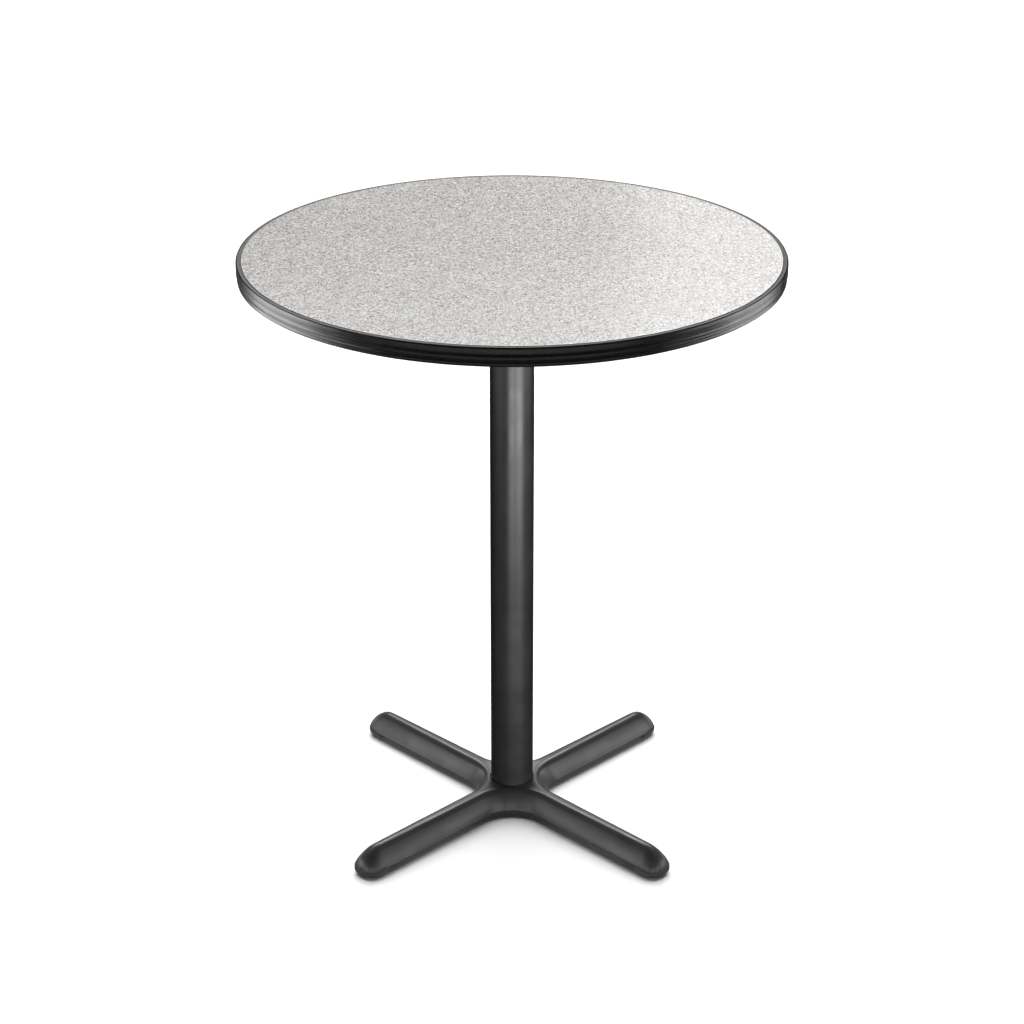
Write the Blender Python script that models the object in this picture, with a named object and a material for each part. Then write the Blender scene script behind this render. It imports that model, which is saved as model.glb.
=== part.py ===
"""A bar-height cafe table: a round laminate top on a steel column over a cast base with four arms.

Sizes are in metres and +Z is up. The origin is on the floor, under the middle of the column.
The arms of the base lie on the diagonals. Each arm ends in a toe with a screwed levelling glide,
and the model stands with all four glides screwed fully in.
"""

import math

import bmesh
import bpy
from mathutils import Matrix

# Table top: decorative laminate, particle board core and a thin balancing sheet below.
TOP_RADIUS = 0.4572
TOP_HEIGHT = 1.0500
LAMINATE_THICKNESS = 0.0012
CORE_THICKNESS = 0.0286
BACKER_THICKNESS = 0.0008
TOP_FACETS = 72

# Vinyl edge molding: three beads on its face, and a barbed spine pressed into the core's groove.
MOLDING_DEPTH = 0.0090
MOLDING_DROP = 0.0009
MOLDING_SHOULDER = 0.0030
SHOULDER_CORNER = 0.3
BEAD_SHARES = (0.383, 0.336, 0.281)
BEAD_CROWN = 0.0013
LOWER_BEAD_INSET = 0.0010
BEAD_STEPS = 3
SPINE_THICKNESS = 0.0022
SPINE_DEPTH = 0.0100
BARB_HEIGHT = 0.0005
BARB_LENGTH = 0.0030

# Column, and the threaded rod with its nuts and washers that ties base, column and spider.
COLUMN_RADIUS = 0.0381
COLUMN_WALL = 0.0021
ROD_RADIUS = 0.00635
ROD_STICK_OUT = 0.0020
NUT_WALL = 0.00315
NUT_HEIGHT = 0.0108
WASHER_RIM = 0.00765
WASHER_THICKNESS = 0.0025
NUT_POCKET_SPARE = 0.0025
ROUND_FACETS = 48
ROD_FACETS = 16

# Spider: the four-arm casting under the top. Its plug centres the column.
SPIDER_REACH = 0.2000
SPIDER_ARM_HALF_WIDTH = 0.0150
SPIDER_FILLET = 0.0300
SPIDER_PLATE = 0.0050
SPIDER_RIB_WIDTH = 0.0060
SPIDER_RIB_DROP = 0.0160
SPIDER_RIB_END_DROP = 0.0020
SPIDER_RIB_SETBACK = 0.0120
SPIDER_FLANGE_LAP = 0.0089
SPIDER_FLANGE_THICKNESS = 0.0100
SPIDER_WEB = 0.0080
SPIDER_PLUG_DEPTH = 0.0180
SPIDER_PLUG_WALL = 0.0087
SPIDER_TOP_STEP = 0.0005

# Wood screws: two in each spider arm, one on each side of its rib.
SCREW_END_SETBACK = 0.0200
SCREW_SPACING = 0.0850
SCREW_SHANK_RADIUS = 0.0022
SCREW_LENGTH = 0.0220
SCREW_POINT = 0.0040
SCREW_HEAD_RADIUS = 0.0046
SCREW_HEAD_HEIGHT = 0.0030
SCREW_HEAD_RIM = 0.0012
SCREW_HEAD_CROWN_RADIUS = 0.0028
SCREW_FACETS = 10

# Cast base. The section of an arm is a flat crown, two shoulder arcs and a slanted side.
ARM_TIP = 0.3750
BASE_HEIGHT = 0.0497
CROWN_HALF_WIDTH = 0.0055
CROWN_RADIUS = 0.0060
CROWN_TURN = math.radians(35.0)
CROWN_STEPS = 2
SHOULDER_RADIUS = 0.0220
SHOULDER_STEPS = 3
SIDE_DRAFT = math.radians(27.0)
SIDE_STEPS = 3
SKIRT_HEIGHT = 0.0155
ARM_TAPER = 0.0120
HUB_LAND = 0.0049
NOSE_RUN = 0.0450
NOSE_POWER = 1.80
NOSE_BLUNTNESS = 2.55
NOSE_LENGTH = 0.0325
NOSE_HEIGHT = 0.0080
CROWN_NOSE_SHARE = 0.20
TOE_RIM_DRAW = 0.0027
TOE_RIM_SETBACK = 0.0056
TOE_STEPS = 3
TOE_LENGTH = 0.0430
CAST_WALL = 0.0060
FILLET_STEPS = 6
NOSE_STEPS = 12
CHANNEL_NOSE_STEPS = 8
CHANNEL_BLUNTNESS = 3.0

# Hub of the base: a socket ring round the column's foot and a spigot inside it.
SOCKET_DEPTH = 0.0050
SOCKET_GAP = 0.0012
SPIGOT_RISE = 0.0123
SPIGOT_WALL = 0.0097
HUB_WEB = 0.0127
HUB_BOSS_WALL = 0.0067
HUB_BOSS_SKIRT = 0.0120
HUB_BOSS_LAP = 0.0020

# Levelling glides: a nylon pad under each toe, on a steel stem that screws into the toe.
GLIDE_SETBACK = 0.0250
PAD_RADIUS = 0.0190
PAD_THICKNESS = 0.0040
PAD_EDGE = 0.0008
PAD_NECK_WALL = 0.0051
PAD_NECK_HEIGHT = 0.0052
SOLE_GAP = 0.0005
STEM_RADIUS = 0.00397
STEM_LENGTH = 0.0310
STEM_FOOT = 0.0030
HEX_FLANGE = 0.0025
HEX_HEIGHT = 0.0055
TOE_POCKET_SPARE = 0.0030
TAPPED_SPARE = 0.0010
GLIDE_FACETS = 24
STEM_FACETS = 16

# Clearances: pieces that touch keep SEAT_GAP, and a pin keeps RUNNING_GAP in its hole.
SEAT_GAP = 0.0003
RUNNING_GAP = 0.0004
CUT_MARGIN = 0.0100

# Levels and radii of the top, worked out from the sizes above.
CORE_TOP = TOP_HEIGHT - LAMINATE_THICKNESS - SEAT_GAP
CORE_FOOT = CORE_TOP - CORE_THICKNESS
CORE_MIDDLE = CORE_TOP - 0.5 * CORE_THICKNESS
BACKER_TOP = CORE_FOOT - SEAT_GAP
BACKER_FOOT = BACKER_TOP - BACKER_THICKNESS
MOLDING_FOOT = BACKER_FOOT - MOLDING_DROP
MOLDING_INNER_RADIUS = TOP_RADIUS - MOLDING_DEPTH
SHEET_RADIUS = MOLDING_INNER_RADIUS - SEAT_GAP

# Tie rod hardware.
NUT_ACROSS_FLATS = 2.0 * (ROD_RADIUS + NUT_WALL)
WASHER_RADIUS = ROD_RADIUS + WASHER_RIM
ROD_BORE_RADIUS = ROD_RADIUS + RUNNING_GAP
NUT_POCKET_RADIUS = max(WASHER_RADIUS, NUT_ACROSS_FLATS / math.sqrt(3.0)) + NUT_POCKET_SPARE
NUT_STACK = WASHER_THICKNESS + NUT_HEIGHT + 2.0 * SEAT_GAP
NUT_POCKET_DEPTH = NUT_STACK + ROD_STICK_OUT + SEAT_GAP

# Spider, and the column below it.
SPIDER_TOP = BACKER_FOOT - SEAT_GAP
SPIDER_ARM_FOOT = SPIDER_TOP - SPIDER_PLATE
SPIDER_SEAT = SPIDER_TOP - SPIDER_FLANGE_THICKNESS
SPIDER_WEB_TOP = SPIDER_TOP - NUT_POCKET_DEPTH
SPIDER_FLANGE_RADIUS = COLUMN_RADIUS + SPIDER_FLANGE_LAP
COLUMN_TOP = SPIDER_SEAT - SEAT_GAP
PLUG_RADIUS = COLUMN_RADIUS - COLUMN_WALL - SEAT_GAP
SCREW_OFFSET = 0.5 * (SPIDER_ARM_HALF_WIDTH + 0.5 * SPIDER_RIB_WIDTH)
SCREW_TIP = SPIDER_ARM_FOOT - SEAT_GAP + SCREW_LENGTH

# Base, and the column's foot in it.
SEAT_HEIGHT = BASE_HEIGHT - SOCKET_DEPTH
COLUMN_FOOT = SEAT_HEIGHT + SEAT_GAP
SPIGOT_HEIGHT = BASE_HEIGHT + SPIGOT_RISE
HUB_WEB_FOOT = SEAT_HEIGHT - HUB_WEB
HUB_BOSS_FOOT = HUB_WEB_FOOT - HUB_BOSS_SKIRT
SOCKET_RADIUS = COLUMN_RADIUS + SOCKET_GAP
HUB_BOSS_RADIUS = SOCKET_RADIUS + HUB_BOSS_WALL
HUB_SWEEP = (COLUMN_RADIUS + HUB_LAND - CROWN_HALF_WIDTH) / (math.sqrt(2.0) - 1.0)
CROWN_END = ARM_TIP - NOSE_RUN
TOE_START = ARM_TIP - TOE_LENGTH
CHANNEL_END = TOE_START - 2.0 * CAST_WALL
ROD_FOOT = HUB_WEB_FOOT - NUT_STACK - ROD_STICK_OUT
ROD_TOP = SPIDER_WEB_TOP + NUT_STACK + ROD_STICK_OUT

# Glides.
GLIDE_DISTANCE = ARM_TIP - GLIDE_SETBACK
TOE_RIM_HEIGHT = PAD_THICKNESS + SOLE_GAP
PAD_SOCKET_RADIUS = STEM_RADIUS + RUNNING_GAP
PAD_NECK_RADIUS = PAD_SOCKET_RADIUS + PAD_NECK_WALL
PAD_HEIGHT = PAD_THICKNESS + PAD_NECK_HEIGHT
HEX_ACROSS_FLATS = 2.0 * (STEM_RADIUS + HEX_FLANGE)
HEX_FOOT = PAD_HEIGHT + SEAT_GAP
HEX_TOP = HEX_FOOT + HEX_HEIGHT
STEM_TOP = STEM_FOOT + STEM_LENGTH
TOE_POCKET_RADIUS = max(PAD_NECK_RADIUS, HEX_ACROSS_FLATS / math.sqrt(3.0)) + TOE_POCKET_SPARE
TOE_POCKET_TOP = HEX_TOP + SEAT_GAP

# The four arms, counter clockwise from the one at the back right.
DIAGONALS = tuple(math.radians(45.0 + 90.0 * turn) for turn in range(4))
TOE_NAMES = ("back_right", "back_left", "front_left", "front_right")


def clear_scene():
    """Empty the file, whatever it was opened with."""
    for obj in list(bpy.data.objects):
        bpy.data.objects.remove(obj, do_unlink=True)


def finish(name, colour, roughness, metallic):
    """Make one plain material."""
    material = bpy.data.materials.new(name)
    material.use_nodes = True
    shader = material.node_tree.nodes["Principled BSDF"]
    shader.inputs["Base Color"].default_value = (*colour, 1.0)
    shader.inputs["Roughness"].default_value = roughness
    shader.inputs["Metallic"].default_value = metallic
    return material


def add_object(name, bm, material=None):
    """Turn a bmesh into a scene object with outward faces."""
    bmesh.ops.recalc_face_normals(bm, faces=bm.faces)
    mesh = bpy.data.meshes.new(name)
    bm.to_mesh(mesh)
    bm.free()
    obj = bpy.data.objects.new(name, mesh)
    bpy.context.scene.collection.objects.link(obj)
    if material is not None:
        mesh.materials.append(material)
    return obj


def combine(target, tool, operation):
    """Apply one exact Boolean to the target and delete the tool."""
    step = target.modifiers.new(operation, "BOOLEAN")
    step.operation = operation
    step.solver = "EXACT"
    step.object = tool
    bpy.context.view_layer.update()
    evaluated = target.evaluated_get(bpy.context.evaluated_depsgraph_get())
    mesh = bpy.data.meshes.new_from_object(evaluated)
    target.modifiers.clear()
    old = target.data
    target.data = mesh
    mesh.name = old.name
    bpy.data.meshes.remove(old)
    bpy.data.objects.remove(tool, do_unlink=True)


def shade(obj, angle=40.0):
    """Smooth the round faces and keep the edges sharper than the angle."""
    obj.data.shade_smooth()
    obj.data.set_sharp_from_angle(angle=math.radians(angle))


def lathe(profile, facets, closed, centre=(0.0, 0.0)):
    """Spin a profile of (radius, height) points about the upright line through centre.

    A closed profile is a ring that stays off the axis. An open one starts and ends on the axis.
    """
    bm = bmesh.new()
    points = [bm.verts.new((radius, 0.0, height)) for radius, height in profile]
    edges = [bm.edges.new(pair) for pair in zip(points, points[1:])]
    if closed:
        edges.append(bm.edges.new((points[-1], points[0])))
    bmesh.ops.spin(bm, geom=points + edges, axis=(0.0, 0.0, 1.0), cent=(0.0, 0.0, 0.0),
                   angle=math.tau, steps=facets, use_merge=True)
    bmesh.ops.remove_doubles(bm, verts=bm.verts, dist=0.000001)
    bmesh.ops.translate(bm, verts=bm.verts, vec=(centre[0], centre[1], 0.0))
    return bm


def drum(radius, foot, top, facets, centre=(0.0, 0.0)):
    """Make a plain cylinder between two heights."""
    return lathe([(0.0, top), (radius, top), (radius, foot), (0.0, foot)], facets, False, centre)


def tube(outer, inner, foot, top, facets):
    """Make a straight tube between two heights."""
    profile = [(inner, foot), (outer, foot), (outer, top), (inner, top)]
    return lathe(profile, facets, True)


def loft(rings):
    """Skin a stack of level outlines that all have the same number of points, and cap its ends."""
    bm = bmesh.new()
    rows = [[bm.verts.new(point) for point in ring] for ring in rings]
    count = len(rows[0])
    for upper, lower in zip(rows, rows[1:]):
        for here in range(count):
            after = (here + 1) % count
            bm.faces.new((upper[here], upper[after], lower[after], lower[here]))
    bm.faces.new(rows[0])
    bm.faces.new(reversed(rows[-1]))
    return bm


def superellipse(angle, power):
    """Return the cosine and sine of an angle, squared off towards a blunter shape."""
    cosine, sine = math.cos(angle), math.sin(angle)
    share = 2.0 / power
    return abs(cosine) ** share, math.copysign(abs(sine) ** share, sine)


def cross_outline(half_width, tip, nose, sweep, height, bluntness=2.0, narrowing=0.0,
                  nose_steps=NOSE_STEPS, fillet_steps=FILLET_STEPS):
    """Trace one level outline of a four-arm cross, with blunt arm ends and concave corners.

    The corner arcs are centred sweep out along both arms, and touch the arms' straight edges.
    Past that distance the arm narrows by the given share of its length.
    """
    points = []
    for turn in DIAGONALS:
        along = (math.cos(turn), math.sin(turn))
        across = (-along[1], along[0])
        station = []
        for step in range(nose_steps + 1):
            angle = math.pi * (step / nose_steps - 0.5)
            forward, side = superellipse(angle, bluntness)
            distance = tip - nose + nose * forward
            keep = 1.0 - narrowing * (distance - sweep) / half_width
            station.append((distance, half_width * side * keep))
        radius = sweep - half_width
        for step in range(fillet_steps + 1):
            angle = -0.5 * math.pi * (1.0 + step / fillet_steps)
            station.append((sweep + radius * math.cos(angle), sweep + radius * math.sin(angle)))
        for distance, offset in station:
            x = distance * along[0] + offset * across[0]
            y = distance * along[1] + offset * across[1]
            points.append((x, y, height))
    return points


def shares(steps):
    """Return the even shares of a whole after its start, such as a third, two thirds and one."""
    return [(step + 1.0) / steps for step in range(steps)]


def arm_section():
    """Return the (half width, height) points of an arm's section, from its crown to its skirt."""
    section = [(CROWN_HALF_WIDTH, BASE_HEIGHT)]
    for share in shares(CROWN_STEPS):
        angle = CROWN_TURN * share
        section.append((CROWN_HALF_WIDTH + CROWN_RADIUS * math.sin(angle),
                        BASE_HEIGHT - CROWN_RADIUS * (1.0 - math.cos(angle))))
    half_width, height = section[-1]
    side_turn = 0.5 * math.pi - SIDE_DRAFT
    for share in shares(SHOULDER_STEPS):
        angle = CROWN_TURN + (side_turn - CROWN_TURN) * share
        section.append((half_width + SHOULDER_RADIUS * (math.sin(angle) - math.sin(CROWN_TURN)),
                        height - SHOULDER_RADIUS * (math.cos(CROWN_TURN) - math.cos(angle))))
    half_width, height = section[-1]
    for share in shares(SIDE_STEPS):
        drop = (height - SKIRT_HEIGHT) * share
        section.append((half_width + drop * math.tan(SIDE_DRAFT), height - drop))
    return section


def nose_tip(height):
    """Return how far out an arm reaches at a height, above or below its nose's widest level."""
    if height < NOSE_HEIGHT:
        drop = (NOSE_HEIGHT - height) / (NOSE_HEIGHT - TOE_RIM_HEIGHT)
        return ARM_TIP - TOE_RIM_SETBACK * drop ** 2
    rise = (height - NOSE_HEIGHT) / (BASE_HEIGHT - NOSE_HEIGHT)
    bulge = max(1.0 - rise ** NOSE_POWER, 0.0) ** (1.0 / NOSE_POWER)
    return CROWN_END + NOSE_RUN * bulge


def base_outline(half_width, height):
    """Trace the base at one height above its skirt."""
    rise = (height - SKIRT_HEIGHT) / (BASE_HEIGHT - SKIRT_HEIGHT)
    share = half_width / side_half_width(SKIRT_HEIGHT)
    nose = NOSE_LENGTH * (CROWN_NOSE_SHARE + (1.0 - CROWN_NOSE_SHARE) * share)
    return cross_outline(half_width, nose_tip(height), nose, HUB_SWEEP, height, NOSE_BLUNTNESS,
                         ARM_TAPER * rise)


def toe_outline(share):
    """Trace a toe's level a share of the way down from the skirt to the rim."""
    height = SKIRT_HEIGHT - share * (SKIRT_HEIGHT - TOE_RIM_HEIGHT)
    half_width = side_half_width(SKIRT_HEIGHT) - TOE_RIM_DRAW * share ** 2
    return cross_outline(half_width, nose_tip(height), NOSE_LENGTH, HUB_SWEEP, height,
                         NOSE_BLUNTNESS)


def side_half_width(height):
    """Return the half width of the arm's slanted side at a height."""
    half_width, level = arm_section()[-1]
    return half_width + (level - height) * math.tan(SIDE_DRAFT)


def base_shell():
    """Make the outside of the base as one solid, toes and arms down to the toes' rim."""
    rings = [base_outline(half_width, height) for half_width, height in arm_section()]
    rings.extend(toe_outline(share) for share in shares(TOE_STEPS))
    return add_object("x_base", loft(rings))


def base_channel():
    """Make the hollow on the underside of the arms, which leaves the cast wall all round."""
    roof = BASE_HEIGHT - CAST_WALL
    slant = CAST_WALL / math.cos(SIDE_DRAFT)
    waist = roof - CAST_WALL
    levels = [
        (side_half_width(waist) - slant - 0.5 * CAST_WALL, roof),
        (side_half_width(waist) - slant, waist),
        (side_half_width(SKIRT_HEIGHT) - slant, SKIRT_HEIGHT),
        (side_half_width(SKIRT_HEIGHT) - slant, -CUT_MARGIN),
    ]
    rings = [cross_outline(half_width, CHANNEL_END, half_width, HUB_SWEEP, height,
                           CHANNEL_BLUNTNESS, nose_steps=CHANNEL_NOSE_STEPS)
             for half_width, height in levels]
    return add_object("channel_cutter", loft(rings))


def toe_relief():
    """Make the block that lifts the arms off the floor between the hub and the toes."""
    bm = bmesh.new()
    bmesh.ops.create_cube(bm, size=1.0)
    depth = SKIRT_HEIGHT + CUT_MARGIN
    bmesh.ops.scale(bm, verts=bm.verts, vec=(2.0 * TOE_START, 2.0 * TOE_START, depth))
    bmesh.ops.rotate(bm, verts=bm.verts, matrix=Matrix.Rotation(DIAGONALS[0], 3, "Z"))
    bmesh.ops.translate(bm, verts=bm.verts, vec=(0.0, 0.0, SKIRT_HEIGHT - 0.5 * depth))
    return add_object("relief_cutter", bm)


def glide_centre(turn):
    """Return where the glide of the arm at an angle stands."""
    return GLIDE_DISTANCE * math.cos(turn), GLIDE_DISTANCE * math.sin(turn)


def make_base(material):
    """Cast base: hollow arms, hub with the column's seat, and four solid toes bored for glides."""
    base = base_shell()
    combine(base, base_channel(), "DIFFERENCE")
    boss_top = SEAT_HEIGHT + HUB_BOSS_LAP
    boss = add_object("hub_boss", drum(HUB_BOSS_RADIUS, HUB_BOSS_FOOT, boss_top, ROUND_FACETS))
    combine(base, boss, "UNION")
    combine(base, toe_relief(), "DIFFERENCE")
    sky = SPIGOT_HEIGHT + CUT_MARGIN
    socket = add_object("socket", drum(SOCKET_RADIUS, SEAT_HEIGHT, sky, ROUND_FACETS))
    combine(base, socket, "DIFFERENCE")
    spigot_foot = SEAT_HEIGHT - HUB_BOSS_LAP
    spigot = add_object("spigot", drum(PLUG_RADIUS, spigot_foot, SPIGOT_HEIGHT, ROUND_FACETS))
    combine(base, spigot, "UNION")
    core = drum(PLUG_RADIUS - SPIGOT_WALL, SEAT_HEIGHT, sky, ROUND_FACETS)
    combine(base, add_object("spigot_core", core), "DIFFERENCE")
    pocket = drum(NUT_POCKET_RADIUS, -CUT_MARGIN, HUB_WEB_FOOT, ROD_FACETS * 2)
    combine(base, add_object("nut_pocket", pocket), "DIFFERENCE")
    bore = drum(ROD_BORE_RADIUS, -CUT_MARGIN, sky, ROD_FACETS)
    combine(base, add_object("rod_bore", bore), "DIFFERENCE")
    for turn in DIAGONALS:
        centre = glide_centre(turn)
        hole_top = STEM_TOP + TAPPED_SPARE
        hole_radius = STEM_RADIUS + RUNNING_GAP
        profile = [(0.0, hole_top), (hole_radius, hole_top), (hole_radius, TOE_POCKET_TOP),
                   (TOE_POCKET_RADIUS, TOE_POCKET_TOP), (TOE_POCKET_RADIUS, -CUT_MARGIN),
                   (0.0, -CUT_MARGIN)]
        drill = add_object("glide_drill", lathe(profile, STEM_FACETS, False, centre))
        combine(base, drill, "DIFFERENCE")
    base.data.materials.clear()
    base.data.materials.append(material)
    shade(base, 32.0)
    return base


def bead(top, height, outer):
    """Return points down one convex bead of the molding's face, from groove to groove."""
    points = []
    for step in range(BEAD_STEPS + 1):
        share = step / BEAD_STEPS
        crown = BEAD_CROWN * math.sin(math.pi * share)
        points.append((outer - BEAD_CROWN + crown, top - height * share))
    return points


def molding_profile():
    """Trace the closed section of the edge molding, from its top lip round to its spine."""
    height = TOP_HEIGHT - MOLDING_FOOT
    upper, middle, lower = (height * share for share in BEAD_SHARES)
    shoulder = MOLDING_SHOULDER
    corner = SHOULDER_CORNER * shoulder
    groove = TOP_HEIGHT - upper
    profile = [
        (MOLDING_INNER_RADIUS, TOP_HEIGHT),
        (TOP_RADIUS - shoulder, TOP_HEIGHT),
        (TOP_RADIUS - corner, TOP_HEIGHT - corner),
        (TOP_RADIUS, TOP_HEIGHT - shoulder),
        (TOP_RADIUS, groove + shoulder),
        (TOP_RADIUS - BEAD_CROWN, groove),
    ]
    profile.extend(bead(groove, middle, TOP_RADIUS)[1:])
    profile.extend(bead(groove - middle, lower, TOP_RADIUS - LOWER_BEAD_INSET)[1:-1])
    profile.append((TOP_RADIUS - LOWER_BEAD_INSET - shoulder, MOLDING_FOOT))
    profile.append((MOLDING_INNER_RADIUS, MOLDING_FOOT))
    half = 0.5 * SPINE_THICKNESS
    end = MOLDING_INNER_RADIUS - SPINE_DEPTH
    side = [(MOLDING_INNER_RADIUS, half), (end + BARB_LENGTH, half),
            (end + BARB_LENGTH, half + BARB_HEIGHT), (end, 0.5 * half)]
    profile.extend((radius, CORE_MIDDLE - offset) for radius, offset in side)
    profile.extend((radius, CORE_MIDDLE + offset) for radius, offset in reversed(side))
    return profile


def screw_spots():
    """Return the plan places of the spider's screws, on alternate sides of each arm's rib."""
    spots = []
    for turn in DIAGONALS:
        outer = SPIDER_REACH - SCREW_END_SETBACK
        for side, distance in ((-1.0, outer - SCREW_SPACING), (1.0, outer)):
            x = distance * math.cos(turn) - side * SCREW_OFFSET * math.sin(turn)
            y = distance * math.sin(turn) + side * SCREW_OFFSET * math.cos(turn)
            spots.append((x, y))
    return spots


def drill_screw_holes(obj, radius, foot, top):
    """Cut one round hole for each spider screw between two heights."""
    for spot in screw_spots():
        hole = add_object("screw_hole", drum(radius, foot, top, SCREW_FACETS, spot))
        combine(obj, hole, "DIFFERENCE")


def make_laminate(material):
    """Decorative sheet on top of the core."""
    sheet = drum(SHEET_RADIUS, TOP_HEIGHT - LAMINATE_THICKNESS, TOP_HEIGHT, TOP_FACETS)
    return add_object("laminate_sheet", sheet, material)


def make_core(material):
    """Board with a groove for the molding's spine and pilot holes for the screws."""
    half = 0.5 * SPINE_THICKNESS + BARB_HEIGHT + SEAT_GAP
    groove = MOLDING_INNER_RADIUS - SPINE_DEPTH - SEAT_GAP
    profile = [(0.0, CORE_TOP), (SHEET_RADIUS, CORE_TOP), (SHEET_RADIUS, CORE_MIDDLE + half),
               (groove, CORE_MIDDLE + half), (groove, CORE_MIDDLE - half),
               (SHEET_RADIUS, CORE_MIDDLE - half), (SHEET_RADIUS, CORE_FOOT), (0.0, CORE_FOOT)]
    core = add_object("core_board", lathe(profile, TOP_FACETS, False), material)
    drill_screw_holes(core, SCREW_SHANK_RADIUS + SEAT_GAP, CORE_FOOT - CUT_MARGIN,
                      SCREW_TIP + SEAT_GAP)
    return core


def make_backer(material):
    """Thin sheet under the core."""
    sheet = drum(SHEET_RADIUS, BACKER_FOOT, BACKER_TOP, TOP_FACETS)
    backer = add_object("backer_sheet", sheet, material)
    drill_screw_holes(backer, SCREW_SHANK_RADIUS + SEAT_GAP, BACKER_FOOT - CUT_MARGIN,
                      BACKER_TOP + CUT_MARGIN)
    return backer


def make_molding(material):
    """Ring of edge molding round the top."""
    molding = add_object("edge_molding", lathe(molding_profile(), TOP_FACETS, True), material)
    shade(molding)
    return molding


def make_column(material):
    """Steel tube between the base and the spider."""
    body = tube(COLUMN_RADIUS, COLUMN_RADIUS - COLUMN_WALL, COLUMN_FOOT, COLUMN_TOP, ROUND_FACETS)
    column = add_object("column_tube", body, material)
    shade(column)
    return column


def spider_rib(turn):
    """Make the tapered rib under one arm of the spider."""
    top = SPIDER_TOP - 0.5 * SPIDER_PLATE
    half = 0.5 * SPIDER_RIB_WIDTH
    start = COLUMN_RADIUS
    root = SPIDER_FLANGE_RADIUS - SPIDER_TOP_STEP
    end = SPIDER_REACH - SPIDER_RIB_SETBACK
    side = [(start, top), (end, top), (end, SPIDER_ARM_FOOT - SPIDER_RIB_END_DROP),
            (root, SPIDER_ARM_FOOT - SPIDER_RIB_DROP), (root, SPIDER_SEAT + SEAT_GAP),
            (start, SPIDER_SEAT + SEAT_GAP)]
    bm = bmesh.new()
    near = [bm.verts.new((x, -half, z)) for x, z in side]
    far = [bm.verts.new((x, half, z)) for x, z in side]
    bm.faces.new(near)
    bm.faces.new(reversed(far))
    for here in range(len(side)):
        after = (here + 1) % len(side)
        bm.faces.new((near[here], near[after], far[after], far[here]))
    bmesh.ops.rotate(bm, verts=bm.verts, matrix=Matrix.Rotation(turn, 3, "Z"))
    return add_object("spider_rib", bm)


def make_spider(material):
    """Casting under the top: four ribbed arms, a flange on the column and a plug inside it."""
    sweep = SPIDER_ARM_HALF_WIDTH + SPIDER_FILLET
    rings = [cross_outline(SPIDER_ARM_HALF_WIDTH, SPIDER_REACH, SPIDER_ARM_HALF_WIDTH, sweep,
                           height, nose_steps=8, fillet_steps=4)
             for height in (SPIDER_TOP, SPIDER_ARM_FOOT)]
    spider = add_object("top_spider", loft(rings))
    for turn in DIAGONALS:
        combine(spider, spider_rib(turn), "UNION")
    plug_foot = SPIDER_SEAT - SPIDER_PLUG_DEPTH
    web_foot = SPIDER_WEB_TOP - SPIDER_WEB
    hub_top = SPIDER_TOP - SPIDER_TOP_STEP
    core_radius = PLUG_RADIUS - SPIDER_PLUG_WALL
    profile = [(0.0, hub_top), (SPIDER_FLANGE_RADIUS, hub_top),
               (SPIDER_FLANGE_RADIUS, SPIDER_SEAT), (PLUG_RADIUS, SPIDER_SEAT),
               (PLUG_RADIUS, plug_foot), (core_radius, plug_foot), (core_radius, web_foot),
               (0.0, web_foot)]
    hub = add_object("spider_hub", lathe(profile, ROUND_FACETS, False))
    combine(spider, hub, "UNION")
    pocket = drum(NUT_POCKET_RADIUS, SPIDER_WEB_TOP, SPIDER_TOP + CUT_MARGIN, 2 * ROD_FACETS)
    combine(spider, add_object("nut_pocket", pocket), "DIFFERENCE")
    bore = drum(ROD_BORE_RADIUS, plug_foot - CUT_MARGIN, SPIDER_TOP + CUT_MARGIN, ROD_FACETS)
    combine(spider, add_object("rod_bore", bore), "DIFFERENCE")
    drill_screw_holes(spider, SCREW_SHANK_RADIUS + RUNNING_GAP,
                      SPIDER_ARM_FOOT - CUT_MARGIN, SPIDER_TOP + CUT_MARGIN)
    spider.data.materials.clear()
    spider.data.materials.append(material)
    shade(spider, 32.0)
    return spider


def repeat(first, names, places):
    """Stand copies of a piece that share its mesh at the plan places, the piece itself first."""
    for name, (x, y) in zip(names, places):
        obj = first if name == names[0] else bpy.data.objects.new(name, first.data)
        obj.location = (x, y, 0.0)
        if obj is not first:
            bpy.context.scene.collection.objects.link(obj)


def make_screws(material):
    """Round-head wood screws that hold the spider under the board."""
    seat = SPIDER_ARM_FOOT - SEAT_GAP
    head_foot = seat - SCREW_HEAD_HEIGHT
    profile = [(0.0, SCREW_TIP), (SCREW_SHANK_RADIUS, SCREW_TIP - SCREW_POINT),
               (SCREW_SHANK_RADIUS, seat), (SCREW_HEAD_RADIUS, seat),
               (SCREW_HEAD_RADIUS, seat - SCREW_HEAD_RIM), (SCREW_HEAD_CROWN_RADIUS, head_foot),
               (0.0, head_foot)]
    names = [f"spider_screw_{toe}_{place}" for toe in TOE_NAMES for place in ("inner", "outer")]
    screw = add_object(names[0], lathe(profile, SCREW_FACETS, False), material)
    repeat(screw, names, screw_spots())


def hexagon(across_flats, foot, top):
    """Make a plain hexagon block between two heights."""
    return drum(across_flats / math.sqrt(3.0), foot, top, 6)


def make_rod(material):
    """Long threaded rod from under the hub of the base to the spider's pocket."""
    return add_object("tie_rod", drum(ROD_RADIUS, ROD_FOOT, ROD_TOP, ROD_FACETS), material)


def make_nut(name, foot, material):
    """One hexagon nut on the tie rod."""
    nut = add_object(name, hexagon(NUT_ACROSS_FLATS, foot, foot + NUT_HEIGHT), material)
    bore = drum(ROD_RADIUS + SEAT_GAP, foot - CUT_MARGIN, foot + NUT_HEIGHT + CUT_MARGIN,
                ROD_FACETS)
    combine(nut, add_object("nut_bore", bore), "DIFFERENCE")
    return nut


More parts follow.
